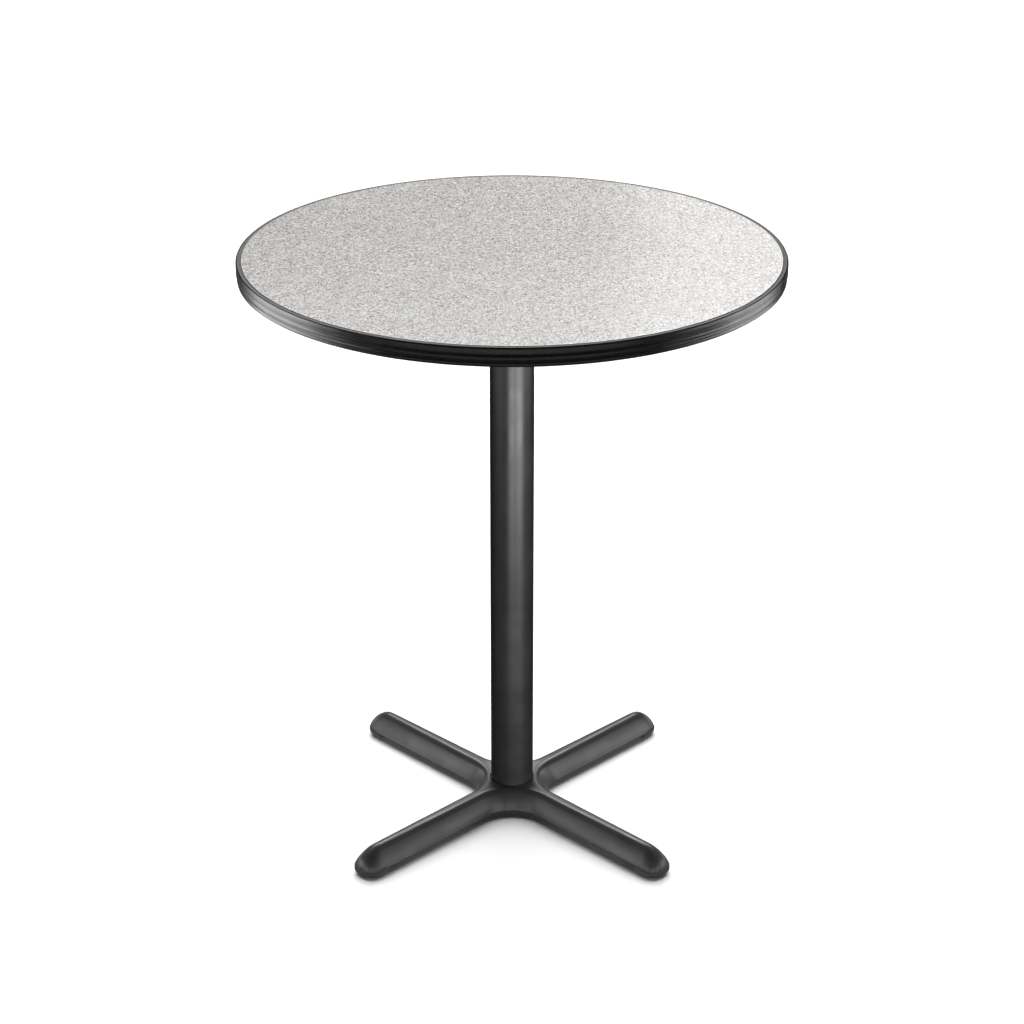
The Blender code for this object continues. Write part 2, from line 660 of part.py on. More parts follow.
def make_washer(name, foot, material):
    """One flat washer on the tie rod."""
    ring = tube(WASHER_RADIUS, ROD_RADIUS + SEAT_GAP, foot, foot + WASHER_THICKNESS,
                ROD_FACETS)
    return add_object(name, ring, material)


def make_pads(material):
    """Nylon pads: a disc on the floor with a neck that holds the stem's foot."""
    floor = STEM_FOOT - SEAT_GAP
    profile = [(0.0, 0.0), (PAD_RADIUS - PAD_EDGE, 0.0), (PAD_RADIUS, PAD_EDGE),
               (PAD_RADIUS, PAD_THICKNESS - PAD_EDGE), (PAD_RADIUS - PAD_EDGE, PAD_THICKNESS),
               (PAD_NECK_RADIUS, PAD_THICKNESS), (PAD_NECK_RADIUS, PAD_HEIGHT),
               (PAD_SOCKET_RADIUS, PAD_HEIGHT), (PAD_SOCKET_RADIUS, floor), (0.0, floor)]
    names = ["glide_pad_" + toe for toe in TOE_NAMES]
    pad = add_object(names[0], lathe(profile, GLIDE_FACETS, False), material)
    shade(pad)
    repeat(pad, names, [glide_centre(turn) for turn in DIAGONALS])


def make_stems(material):
    """Steel stems: a foot in the pad, a hexagon for the spanner and a threaded shank above it."""
    names = ["glide_stem_" + toe for toe in TOE_NAMES]
    stem = add_object(names[0], drum(STEM_RADIUS, STEM_FOOT, STEM_TOP, STEM_FACETS))
    collar = add_object("stem_hexagon", hexagon(HEX_ACROSS_FLATS, HEX_FOOT, HEX_TOP))
    combine(stem, collar, "UNION")
    stem.data.materials.clear()
    stem.data.materials.append(material)
    repeat(stem, names, [glide_centre(turn) for turn in DIAGONALS])


def main():
    """Build every piece of the table."""
    clear_scene()
    laminate = finish("grey_speckled_laminate", (0.62, 0.59, 0.56), 0.35, 0.0)
    board = finish("particle_board", (0.45, 0.33, 0.20), 0.85, 0.0)
    backer = finish("brown_backer", (0.16, 0.11, 0.08), 0.60, 0.0)
    vinyl = finish("black_vinyl", (0.03, 0.03, 0.03), 0.35, 0.0)
    column_paint = finish("black_column_coat", (0.045, 0.045, 0.045), 0.42, 0.0)
    base_paint = finish("black_base_coat", (0.05, 0.05, 0.05), 0.45, 0.0)
    spider_paint = finish("black_spider_coat", (0.05, 0.05, 0.05), 0.50, 0.0)
    screw_steel = finish("zinc_screw", (0.60, 0.58, 0.52), 0.35, 1.0)
    rod_steel = finish("zinc_rod", (0.60, 0.60, 0.60), 0.38, 1.0)
    nut_steel = finish("zinc_nut", (0.58, 0.58, 0.57), 0.35, 1.0)
    nylon = finish("black_nylon", (0.02, 0.02, 0.02), 0.50, 0.0)
    stem_steel = finish("zinc_stem", (0.62, 0.62, 0.62), 0.33, 1.0)

    make_laminate(laminate)
    make_core(board)
    make_backer(backer)
    make_molding(vinyl)
    make_spider(spider_paint)
    make_screws(screw_steel)
    make_column(column_paint)
    make_rod(rod_steel)
    washer_foot = SPIDER_WEB_TOP + SEAT_GAP
    make_washer("rod_washer_top", washer_foot, nut_steel)
    make_nut("rod_nut_top", washer_foot + WASHER_THICKNESS + SEAT_GAP, nut_steel)
    washer_foot = HUB_WEB_FOOT - SEAT_GAP - WASHER_THICKNESS
    make_washer("rod_washer_bottom", washer_foot, nut_steel)
    make_nut("rod_nut_bottom", washer_foot - SEAT_GAP - NUT_HEIGHT, nut_steel)
    make_base(base_paint)
    make_pads(nylon)
    make_stems(stem_steel)


main()
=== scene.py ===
"""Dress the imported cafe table: finer meshes, procedural finishes, a studio and the camera.

Every size is in metres, +Z is up and the origin is on the floor under the column. Each new piece
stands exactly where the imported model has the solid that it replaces.
"""

import logging
import math
from collections.abc import Callable, Iterator, Sequence
from contextlib import contextmanager
from dataclasses import dataclass
from enum import Enum, IntEnum

import bmesh
import bpy
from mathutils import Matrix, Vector


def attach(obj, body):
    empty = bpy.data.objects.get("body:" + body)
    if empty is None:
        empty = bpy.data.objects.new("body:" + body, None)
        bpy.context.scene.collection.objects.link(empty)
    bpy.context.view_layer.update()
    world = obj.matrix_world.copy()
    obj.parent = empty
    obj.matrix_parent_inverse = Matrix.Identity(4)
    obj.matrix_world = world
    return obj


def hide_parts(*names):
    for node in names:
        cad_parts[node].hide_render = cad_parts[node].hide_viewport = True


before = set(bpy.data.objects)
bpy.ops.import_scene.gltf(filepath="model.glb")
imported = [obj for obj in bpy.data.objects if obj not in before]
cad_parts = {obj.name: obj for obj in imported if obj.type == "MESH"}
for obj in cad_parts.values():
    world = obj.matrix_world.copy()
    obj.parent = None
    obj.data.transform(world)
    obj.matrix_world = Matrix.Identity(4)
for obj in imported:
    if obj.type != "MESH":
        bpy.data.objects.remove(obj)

LOG = logging.getLogger("cafe_table")

Colour = tuple[float, float, float]
Point = tuple[float, float, float]
Spot = tuple[float, float]
Profile = list[Spot]
Ring = list[Point]
PickTest = Callable[[Vector, Vector], bool]

INCH = 0.0254
QUARTER = 0.5 * math.pi
AXIS: Spot = (0.0, 0.0)
# The gaps between seated and between turning pieces, and how far a cutter stands out.
SEAT_GAP = 0.0003
RUNNING_GAP = 0.0004
CUT_MARGIN = 0.0100
# How near the axis a point counts as on it, and the least upward part of an upper face's normal.
AXIS_SLACK = 1e-7
FACING_UP = 0.99
# Where the middle point of an eased corner lies, as a share of the corner's size.
CORNER_SHARE = 0.3
# The flat face of a hexagon as a share of its size across flats, and its chamfer.
HEX_FLAT_SHARE = 0.485
HEX_MARGIN = 0.0010
HEX_CHAMFER = math.radians(30.0)
# Half a thread ridge's width as a share of its pitch, and its sunk part as a share of its depth.
THREAD_HALF_SHARE = 0.44
THREAD_SUNK_SHARE = 0.15


class Sides(IntEnum):
    """How many sides a round shape has."""

    HEXAGON = 6
    SMALL = 16
    THREAD = 24
    ROD = 32
    POCKET = 48
    DISC = 64
    HUB = 96
    TUBE = 128
    TOP = 288


class Element(Enum):
    """What a selection in edit mode is made of."""

    VERTEX = "VERT"
    EDGE = "EDGE"
    FACE = "FACE"


class Join(Enum):
    """What a Boolean does with its tool."""

    ADD = "UNION"
    CUT = "DIFFERENCE"
    KEEP = "INTERSECT"


class Corner(Enum):
    """The four arms of the base, each with the angle it points at in degrees."""

    BACK_RIGHT = 45.0
    BACK_LEFT = 135.0
    FRONT_LEFT = 225.0
    FRONT_RIGHT = 315.0

    @property
    def label(self) -> str:
        """Return the corner's name as the bodies and nodes spell it."""
        return self.name.lower()

    @property
    def turn(self) -> float:
        """Return the arm's angle in radians."""
        return math.radians(self.value)

    def spot(self, distance: float, offset: float = 0.0) -> Spot:
        """Return the plan place at a distance along the arm and an offset to its left."""
        cosine, sine = math.cos(self.turn), math.sin(self.turn)
        return distance * cosine - offset * sine, distance * sine + offset * cosine


def select_only(obj: bpy.types.Object) -> None:
    """Deselect everything, then select one object and make it active.

    Args:
        obj: The object to work on.
    """
    bpy.ops.object.select_all(action="DESELECT")
    obj.select_set(True)
    bpy.context.view_layer.objects.active = obj


@contextmanager
def editing(obj: bpy.types.Object, element: Element = Element.VERTEX) -> Iterator[None]:
    """Open a mesh in edit mode with nothing selected, and leave edit mode at the end.

    Args:
        obj: The object whose mesh is edited.
        element: What is selected in this pass.
    """
    select_only(obj)
    bpy.ops.object.mode_set(mode="EDIT")
    bpy.ops.mesh.select_mode(type=element.value)
    bpy.ops.mesh.select_all(action="DESELECT")
    try:
        yield
    finally:
        bpy.ops.object.mode_set(mode="OBJECT")


def pick(obj: bpy.types.Object, element: Element, test: PickTest) -> bool:
    """Select the edges or faces that pass a test.

    Args:
        obj: The object in edit mode.
        element: Whether edges or faces are tried.
        test: Takes the places of an edge's ends, or a face's middle and normal.

    Returns:
        Whether any passed.
    """
    mesh = bmesh.from_edit_mesh(obj.data)
    if element is Element.EDGE:
        picked = [edge for edge in mesh.edges if test(*(vertex.co for vertex in edge.verts))]
    else:
        picked = [face for face in mesh.faces if test(face.calc_center_median(), face.normal)]
    for part in picked:
        part.select_set(True)
    bmesh.update_edit_mesh(obj.data)
    return bool(picked)


def face_outwards() -> None:
    """Point every face of the mesh in edit mode outwards, and leave all of it selected."""
    bpy.ops.mesh.select_all(action="SELECT")
    bpy.ops.mesh.normals_make_consistent(inside=False)


def settle(obj: bpy.types.Object) -> None:
    """Put an object's place, turn and size into its mesh, so that it stands at the origin."""
    select_only(obj)
    bpy.ops.object.transform_apply(location=True, rotation=True, scale=True)


def named(name: str) -> bpy.types.Object:
    """Name and settle the object that was just added.

    Args:
        name: Its new name.

    Returns:
        The object.
    """
    obj = bpy.context.active_object
    obj.name = name
    settle(obj)
    return obj


def outline(name: str, points: Sequence[Point]) -> bpy.types.Object:
    """Add a circle and move its points onto a closed outline.

    Args:
        name: The new object's name.
        points: The places of the outline's points, in order.

    Returns:
        The wire outline.
    """
    bpy.ops.mesh.primitive_circle_add(vertices=len(points), radius=1.0, fill_type="NOTHING")
    obj = named(name)
    for vertex, place in zip(obj.data.vertices, points):
        vertex.co = place
    return obj


def turned(name: str, profile: Profile, sides: int, centre: Spot = AXIS) -> bpy.types.Object:
    """Turn a closed profile of (radius, height) points into a solid, as on a lathe.

    Args:
        name: The new object's name.
        profile: The section, with an edge on the axis where the solid has no bore.
        sides: How many sides a full turn has.
        centre: Where the upright axis stands.

    Returns:
        The solid.
    """
    obj = outline(name, [(centre[0] + radius, centre[1], height) for radius, height in profile])
    with editing(obj, Element.EDGE):
        if pick(obj, Element.EDGE, lambda a, b: max(a.x, b.x) - centre[0] < AXIS_SLACK):
            bpy.ops.mesh.delete(type="EDGE")
        bpy.ops.mesh.select_all(action="SELECT")
        bpy.ops.mesh.spin(steps=sides, angle=math.tau, use_auto_merge=True,
                          center=(*centre, 0.0), axis=(0.0, 0.0, 1.0))
        bpy.ops.mesh.select_all(action="SELECT")
        bpy.ops.mesh.remove_doubles(threshold=1e-6)
        face_outwards()
    return obj


def drum(name: str, radius: float, foot: float, top: float, sides: int,
         centre: Spot = AXIS, hollow: bool = False) -> bpy.types.Object:
    """Add a plain cylinder between two heights, as stock or as a cutter.

    Args:
        name: The new object's name.
        radius: Its radius.
        foot: Its lower level.
        top: Its upper level.
        sides: How many sides it has.
        centre: Where its axis stands.
        hollow: Whether its ends are left open.

    Returns:
        The settled cylinder.
    """
    bpy.ops.mesh.primitive_cylinder_add(vertices=sides, radius=radius, depth=top - foot,
                                        end_fill_type="NOTHING" if hollow else "NGON",
                                        location=(*centre, 0.5 * (foot + top)))
    return named(name)


def box(name: str, middle: Point, size: Point, turn: float) -> bpy.types.Object:
    """Add a box as a cutter.

    Args:
        name: The new object's name.
        middle: Where its middle is.
        size: How long, wide and tall it is.
        turn: How far it is turned about Z, in radians.

    Returns:
        The settled box.
    """
    bpy.ops.mesh.primitive_cube_add(size=1.0, location=middle, rotation=(0.0, 0.0, turn),
                                    scale=size)
    return named(name)


def lofted(name: str, rings: Sequence[Ring]) -> bpy.types.Object:
    """Extrude an outline through a stack of level rings and close both ends.

    Args:
        name: The new object's name.
        rings: Outlines with the same number of points each, from the top down.

    Returns:
        The solid.
    """
    obj = outline(name, rings[0])
    with editing(obj, Element.EDGE):
        mesh = bmesh.from_edit_mesh(obj.data)
        station = mesh.verts.layers.int.new("station")
        for vertex in mesh.verts:
            vertex[station] = vertex.index
        bpy.ops.mesh.select_all(action="SELECT")
        for ring in rings[1:]:
            bpy.ops.mesh.extrude_edges_move(TRANSFORM_OT_translate={"value": (0.0, 0.0, -0.001)})
            mesh = bmesh.from_edit_mesh(obj.data)
            station = mesh.verts.layers.int["station"]
            for vertex in mesh.verts:
                if vertex.select:
                    vertex.co = ring[vertex[station]]
            bmesh.update_edit_mesh(obj.data)
        bpy.ops.mesh.edge_face_add()
        bpy.ops.mesh.select_all(action="DESELECT")
        bpy.ops.mesh.select_non_manifold(extend=False, use_wire=False, use_boundary=True,
                                         use_multi_face=False, use_non_contiguous=False,
                                         use_verts=False)
        bpy.ops.mesh.edge_face_add()
        face_outwards()
    return obj


def combine(target: bpy.types.Object, join: Join, *tools: bpy.types.Object) -> None:
    """Apply one exact Boolean after another to the target and remove the tools.

    Args:
        target: The object that keeps the result.
        join: What is done with the tools.
        tools: The objects that are added, taken away or intersected, in order.
    """
    select_only(target)
    for tool in tools:
        step = target.modifiers.new("join", "BOOLEAN")
        step.operation = join.value
        step.solver = "EXACT"
        step.object = tool
        bpy.ops.object.modifier_apply(modifier=step.name)
        bpy.data.objects.remove(tool, do_unlink=True)


def bevel(obj: bpy.types.Object, width: float, test: PickTest, segments: int = 3) -> None:
    """Round the edges that pass a test on their two ends.

    Args:
        obj: The object to work on.
        width: How far the rounding reaches from the edge.
        test: Takes the places of both ends of an edge.
        segments: How many faces the rounding has.
    """
    with editing(obj, Element.EDGE):
        if pick(obj, Element.EDGE, test):
            bpy.ops.mesh.bevel(offset=width, offset_type="OFFSET", segments=segments,
                               profile=0.5, affect="EDGES", clamp_overlap=True)


def duplicate(obj: bpy.types.Object, name: str, start: Point, end: Point) -> bpy.types.Object:
    """Copy a settled piece with its own mesh, moved as far as one place is from another.

    Args:
        obj: The piece to copy.
        name: The copy's name.
        start: A place on the piece.
        end: Where that place goes.

    Returns:
        The settled copy.
    """
    select_only(obj)
    bpy.ops.object.duplicate(linked=False)
    bpy.context.active_object.location = [there - here for here, there in zip(start, end)]
    return named(name)


def on_level(height: float, slack: float = 1e-5) -> PickTest:
    """Return a test for edges that lie at one height, give or take the slack."""
    return lambda a, b: abs(a.z - height) < slack and abs(b.z - height) < slack


def on_rim(radius: float, height: float, slack: float = 2e-4) -> PickTest:
    """Return a test for edges on a level circle about the table's axis."""
    level = on_level(height)
    return lambda a, b: (level(a, b) and abs(a.xy.length - radius) < slack
                         and abs(b.xy.length - radius) < slack)


def shares(steps: int, first: int = 1) -> list[float]:
    """Return even shares of a whole up to 1, such as a half and 1, from the first step on."""
    return [step / steps for step in range(first, steps + 1)]


def arc(centre: Spot, reach: Spot, start: float, end: float, steps: int,
        first: int = 0) -> Profile:
    """Return points along a part of a circle or an ellipse.

    Args:
        centre: The radius and the level of its centre.
        reach: How far out and how far up it goes from there.
        start: The angle in radians at which it starts, 0 outwards.
        end: The angle at which it ends.
        steps: How many steps it has.
        first: The step whose point comes first.

    Returns:
        The points.
    """
    turns = [start + (end - start) * share for share in shares(steps, first)]
    return [(centre[0] + reach[0] * math.cos(turn), centre[1] + reach[1] * math.sin(turn))
            for turn in turns]


def screw_thread(name: str, root: float, crest: float, pitch: float, foot: float, top: float,
                 sides: int = Sides.THREAD, centre: Spot = AXIS) -> bpy.types.Object:
    """Wind one thread ridge about an upright axis, with closed ends.

    Args:
        name: The new object's name.
        root: The radius that the ridge stands on.
        crest: The radius of its crest.
        pitch: How far it climbs in a turn.
        foot: Where it starts.
        top: Where it ends.
        sides: How many steps a turn has.
        centre: Where its axis stands.

    Returns:
        The ridge, which overlaps the root by a little.
    """
    half = THREAD_HALF_SHARE * pitch
    sunk = root - THREAD_SUNK_SHARE * (crest - root)
    obj = outline(name, [(sunk, 0.0, -half), (crest, 0.0, 0.0), (sunk, 0.0, half)])
    step = obj.modifiers.new("thread", "SCREW")
    step.axis = "Z"
    step.angle = math.tau
    step.screw_offset = pitch
    step.iterations = max(1, round((top - foot) / pitch) - 1)
    step.steps = sides
    step.render_steps = sides
    step.use_merge_vertices = False
    select_only(obj)
    bpy.ops.object.modifier_apply(modifier=step.name)
    with editing(obj):
        bpy.ops.mesh.select_all(action="SELECT")
        bpy.ops.mesh.remove_doubles(threshold=1e-7)
        bpy.ops.mesh.fill_holes(sides=3)
        face_outwards()
    obj.location = (*centre, foot + half)
    settle(obj)
    return obj


def hexagon_block(name: str, across_flats: float, foot: float, top: float,
                  centre: Spot = AXIS) -> bpy.types.Object:
    """Model a hexagon block with the usual chamfer on both faces.

    Args:
        name: The block's name.
        across_flats: Its size across flats.
        foot: The level of its underside.
        top: The level of its upper face.
        centre: Where its axis stands.

    Returns:
        The block.
    """
    corner = across_flats / math.sqrt(3.0)
    flat = HEX_FLAT_SHARE * across_flats
    wide = corner + HEX_MARGIN
    drop = (wide - flat) * math.tan(HEX_CHAMFER)
    block = drum(name, corner, foot, top, Sides.HEXAGON, centre)
    profile = [(0.0, top), (flat, top), (wide, top - drop), (wide, foot + drop), (flat, foot),
               (0.0, foot)]
    combine(block, Join.KEEP, turned("chamfer", profile, Sides.POCKET, centre))
    return block


def superellipse(angle: float, power: float) -> Spot:
    """Return the cosine and sine of an angle, squared off towards a blunter shape.

    Args:
        angle: The angle in radians.
        power: 2 is a circle, and more is blunter.

    Returns:
        The cosine and the sine.
    """
    cosine, sine = math.cos(angle), math.sin(angle)
    share = 2.0 / power
    return abs(cosine) ** share, math.copysign(abs(sine) ** share, sine)


@dataclass(frozen=True)
class CrossOutline:
    """The plan of a four-arm cross with blunt arm ends and concave corners between the arms.

    The corner arcs are centred as far out as the sweep along both arms. An arm's end is a
    superellipse of the power given as bluntness.
    """

    sweep: float
    bluntness: float
    end_steps: int
    fillet_steps: int

    def ring(self, half_width: float, tip: float, nose: float, level: float,
             narrowing: float = 0.0) -> Ring:
        """Trace the cross at one level.

        Args:
            half_width: Half the width of an arm.
            tip: How far out an arm reaches.
            nose: How long the rounded end of an arm is.
            level: The level of the outline.
            narrowing: How much an arm narrows past the sweep, as a share of its length.

        Returns:
            The outline's points.
        """
        arm = []
        for share in shares(self.end_steps, 0):
            forward, side = superellipse(math.pi * (share - 0.5), self.bluntness)
            distance = tip - nose + nose * forward
            keep = 1.0 - narrowing * (distance - self.sweep) / half_width
            arm.append((distance, half_width * side * keep))
        fillet = self.sweep - half_width
        arm.extend(arc((self.sweep, self.sweep), (fillet, fillet), -QUARTER, -math.pi,
                       self.fillet_steps))
        return [(*corner.spot(*place), level) for corner in Corner for place in arm]


class Sheet:
    """One node tree, with short calls that add and join its nodes."""

    def __init__(self, tree: bpy.types.NodeTree) -> None:
        """Keep the tree that the nodes go in."""
        self.tree = tree

    def put(self, target: bpy.types.NodeSocket, value: object) -> None:
        """Lead a socket to an input, or set the input to a plain value.

        Args:
            target: The input.
            value: The socket or the plain value.
        """
        if isinstance(value, bpy.types.NodeSocket):
            self.tree.links.new(value, target)
        else:
            target.default_value = value

    def node(self, kind: str, inputs: dict | None = None, **settings: object) -> bpy.types.Node:
        """Add one shader node.

        Args:
            kind: The node's class name after ShaderNode.
            inputs: Values or sockets for its inputs, by name or number.
            settings: Values for its properties.

        Returns:
            The node.
        """
        made = self.tree.nodes.new("ShaderNode" + kind)
        for key, value in settings.items():
            setattr(made, key, value)
        for key, value in (inputs or {}).items():
            self.put(made.inputs[key], value)
        return made

    def effect(self, effect: "Effect", place: object, **values: float) -> bpy.types.NodeSocket:
        """Place a shared effect with its own values.

        Args:
            effect: The effect.
            place: The coordinates that it lies on.
            values: Its other inputs, by name.

        Returns:
            The effect's one output.
        """
        return self.node("Group", {"Vector": place, **values},
                         node_tree=effect.tree()).outputs[0]

    def maths(self, operation: str, *values: object) -> bpy.types.NodeSocket:
        """Add a Math node on one to three values or sockets, and return its output."""
        return self.node("Math", dict(enumerate(values)), operation=operation).outputs[0]

    def times(self, first: object, second: object) -> bpy.types.NodeSocket:
        """Multiply two values or sockets."""
        return self.maths("MULTIPLY", first, second)

    def axes(self, place: bpy.types.NodeSocket) -> bpy.types.NodeOutputs:
        """Split a vector, and return its X, Y and Z by name."""
        return self.node("SeparateXYZ", {"Vector": place}).outputs

    def blend(self, share: object, first: object, second: object) -> bpy.types.NodeSocket:
        """Mix two colours by a share and return the mixed colour.

        Args:
            share: How much of the second colour shows.
            first: The colour at 0.
            second: The colour at 1.

        Returns:
            The colour socket.
        """
        mix = self.node("Mix", {0: share}, data_type="RGBA")
        for target, value in ((mix.inputs[6], first), (mix.inputs[7], second)):
            plain = isinstance(value, tuple)
            self.put(target, (*value, 1.0) if plain else value)
        return mix.outputs[2]

    def spread(self, value: object, low: object = 0.0, high: object = 1.0,
               start: float = 0.0, end: float = 1.0) -> bpy.types.NodeSocket:
        """Map a range of a value smoothly onto another range.

        Args:
            value: The value or socket to map.
            low: What becomes the start.
            high: What becomes the end.
            start: The result at low.
            end: The result at high.

        Returns:
            The mapped value's socket.
        """
        inputs = {"Value": value, "From Min": low, "From Max": high, "To Min": start,
                  "To Max": end}
        return self.node("MapRange", inputs, interpolation_type="SMOOTHSTEP").outputs[0]

    def noise(self, place: object, scale: object, detail: object,
              roughness: float = 0.5) -> bpy.types.Node:
        """Add a Noise texture.

        Args:
            place: The coordinates that it lies on.
            scale: How many waves a metre has.
            detail: How many finer layers it has.
            roughness: How strong the finer layers are.

        Returns:
            The texture node.
        """
        return self.node("TexNoise", {"Vector": place, "Scale": scale, "Detail": detail,
                                      "Roughness": roughness})


class EffectSheet(Sheet):
    """The node group of one shared effect: coordinates and values in, one value out."""

    def __init__(self, name: str, result: str, **inputs: float) -> None:
        """Start the group with named sockets.

        Args:
            name: The group's name.
            result: The name of its one output.
            inputs: Its inputs after the coordinates, each with its usual value.
        """
        super().__init__(bpy.data.node_groups.new(name, "ShaderNodeTree"))
        face = self.tree.interface
        face.new_socket(name="Vector", in_out="INPUT", socket_type="NodeSocketVector")
        for label, value in inputs.items():
            socket = face.new_socket(name=label, in_out="INPUT", socket_type="NodeSocketFloat")
            socket.default_value = value
        face.new_socket(name=result, in_out="OUTPUT", socket_type="NodeSocketFloat")
        self.given = self.tree.nodes.new("NodeGroupInput").outputs
        self.place = self.given["Vector"]
        self.result = self.tree.nodes.new("NodeGroupOutput").inputs[result]

    def closed(self, value: bpy.types.NodeSocket) -> bpy.types.NodeTree:
        """Lead a value to the group's output and return the group."""
        self.put(self.result, value)
        return self.tree


def build_mottle(name: str) -> bpy.types.NodeTree:
    """Build soft uneven patches: Mask runs from 0 to 1 over the surface."""
    sheet = EffectSheet(name, "Mask", Scale=20.0, Detail=3.0, Contrast=0.25)
    noise = sheet.noise(sheet.place, sheet.given["Scale"], sheet.given["Detail"], 0.55)
    low = sheet.maths("SUBTRACT", 0.5, sheet.given["Contrast"])
    high = sheet.maths("ADD", 0.5, sheet.given["Contrast"])
    return sheet.closed(sheet.spread(noise.outputs["Fac"], low, high))


def build_flecks(name: str) -> bpy.types.NodeTree:
    """Build scattered flecks with ragged edges: Mask marks them."""
    sheet = EffectSheet(name, "Mask", Scale=500.0, Share=0.2, Size=0.45)
    scale = sheet.given["Scale"]
    warp = sheet.noise(sheet.place, scale, 1.0)
    reach = sheet.maths("DIVIDE", 0.9, scale)
    centred = sheet.node("VectorMath", {0: warp.outputs["Color"], 1: (0.5, 0.5, 0.5)},
                         operation="SUBTRACT")
    shifted = sheet.node("VectorMath", {0: centred.outputs[0], "Scale": reach},
                         operation="SCALE")
    ragged = sheet.node("VectorMath", {0: sheet.place, 1: shifted.outputs[0]},
                        operation="ADD")
    cells = sheet.node("TexVoronoi", {"Vector": ragged.outputs[0], "Scale": scale})
    split = sheet.node("SeparateColor", {"Color": cells.outputs["Color"]})
    chosen = sheet.maths("LESS_THAN", split.outputs[0], sheet.given["Share"])
    edge = sheet.maths("SUBTRACT", sheet.given["Size"], cells.outputs["Distance"])
    return sheet.closed(sheet.times(chosen, sheet.spread(edge, 0.0, 0.12)))


def build_coat_grain(name: str) -> bpy.types.NodeTree:
    """Build the skin of a baked or moulded surface: Height holds fine grain on broad waves."""
    sheet = EffectSheet(name, "Height", Scale=900.0, Waves=0.4)
    scale = sheet.given["Scale"]
    fine = sheet.noise(sheet.place, scale, 4.0, 0.62)
    broad = sheet.noise(sheet.place, sheet.times(scale, 0.13), 2.0)
    waves = sheet.times(broad.outputs["Fac"], sheet.given["Waves"])
    return sheet.closed(sheet.maths("ADD", fine.outputs["Fac"], waves))


def build_rubbed_edges(name: str) -> bpy.types.NodeTree:
    """Build light wear on convex edges, broken up by noise: Mask is 1 where it is rubbed."""
    sheet = EffectSheet(name, "Mask", Scale=140.0, Reach=0.06)
    shape = sheet.node("NewGeometry")
    edge = sheet.maths("SUBTRACT", shape.outputs["Pointiness"], 0.5)
    sharp = sheet.maths("DIVIDE", edge, sheet.given["Reach"])
    noise = sheet.noise(sheet.place, sheet.given["Scale"], 4.0)
    broken = sheet.spread(noise.outputs["Fac"], 0.46, 0.66)
    return sheet.closed(sheet.times(sheet.spread(sharp, 0.2, 1.0), broken))


def build_dust(name: str) -> bpy.types.NodeTree:
    """Build a thin uneven film on faces that look up: Mask runs from 0 to 1."""
    sheet = EffectSheet(name, "Mask", Scale=30.0, Amount=0.3)
    shape = sheet.node("NewGeometry")
    upward = sheet.spread(sheet.axes(shape.outputs["Normal"])["Z"], 0.55, 1.0)
    noise = sheet.noise(sheet.place, sheet.given["Scale"], 6.0, 0.6)
    patches = sheet.spread(noise.outputs["Fac"], 0.32, 0.72)
    return sheet.closed(sheet.times(sheet.times(upward, patches), sheet.given["Amount"]))


def build_turned_lines(name: str) -> bpy.types.NodeTree:
    """Build the fine rings that a lathe leaves about an upright axis: Height is their relief."""
    sheet = EffectSheet(name, "Height", Scale=2500.0)
    level = sheet.node("CombineXYZ", {"Z": sheet.axes(sheet.place)["Z"]})
    lines = sheet.noise(level.outputs[0], sheet.given["Scale"], 2.0)
    return sheet.closed(lines.outputs["Fac"])


class Effect(Enum):
    """The shared effects, each built once as a node group."""

    MOTTLE = "mottle"
    FLECKS = "flecks"
    COAT_GRAIN = "coat_grain"
    RUBBED_EDGES = "rubbed_edges"
    DUST = "settled_dust"
    TURNED_LINES = "turned_lines"

    def tree(self) -> bpy.types.NodeTree:
        """Return the effect's node group, and build it when it is first asked for."""
        made = bpy.data.node_groups.get(self.value)
        return made or EFFECT_BUILDERS[self](self.value)


EFFECT_BUILDERS = {
    Effect.MOTTLE: build_mottle,
    Effect.FLECKS: build_flecks,
    Effect.COAT_GRAIN: build_coat_grain,
    Effect.RUBBED_EDGES: build_rubbed_edges,
    Effect.DUST: build_dust,
    Effect.TURNED_LINES: build_turned_lines,
}


class FinishSheet(Sheet):
    """The node tree of one material, with its Principled BSDF and its Object coordinates."""

    def __init__(self, name: str) -> None:
        """Start the material.

        Args:
            name: The material's name.
        """
        self.material = bpy.data.materials.new(name)
        self.material.use_nodes = True
        super().__init__(self.material.node_tree)
        self.shader = self.tree.nodes["Principled BSDF"]
        self.place = self.node("TexCoord").outputs["Object"]

    def finished(self, colour: bpy.types.NodeSocket, rough: bpy.types.NodeSocket,
                 relief: bpy.types.NodeSocket, depth: float) -> bpy.types.Material:
        """Lead the results to the shader.

        Args:
            colour: The base colour.
            rough: The roughness.
            relief: The surface's height, as a share of the depth.
            depth: How deep the relief is, in metres.

        Returns:
            The material.
        """
        bump = self.node("Bump", {"Height": relief, "Distance": depth})
        for name, value in (("Base Color", colour), ("Roughness", rough),
                            ("Normal", bump.outputs["Normal"])):
            self.put(self.shader.inputs[name], value)
        return self.material


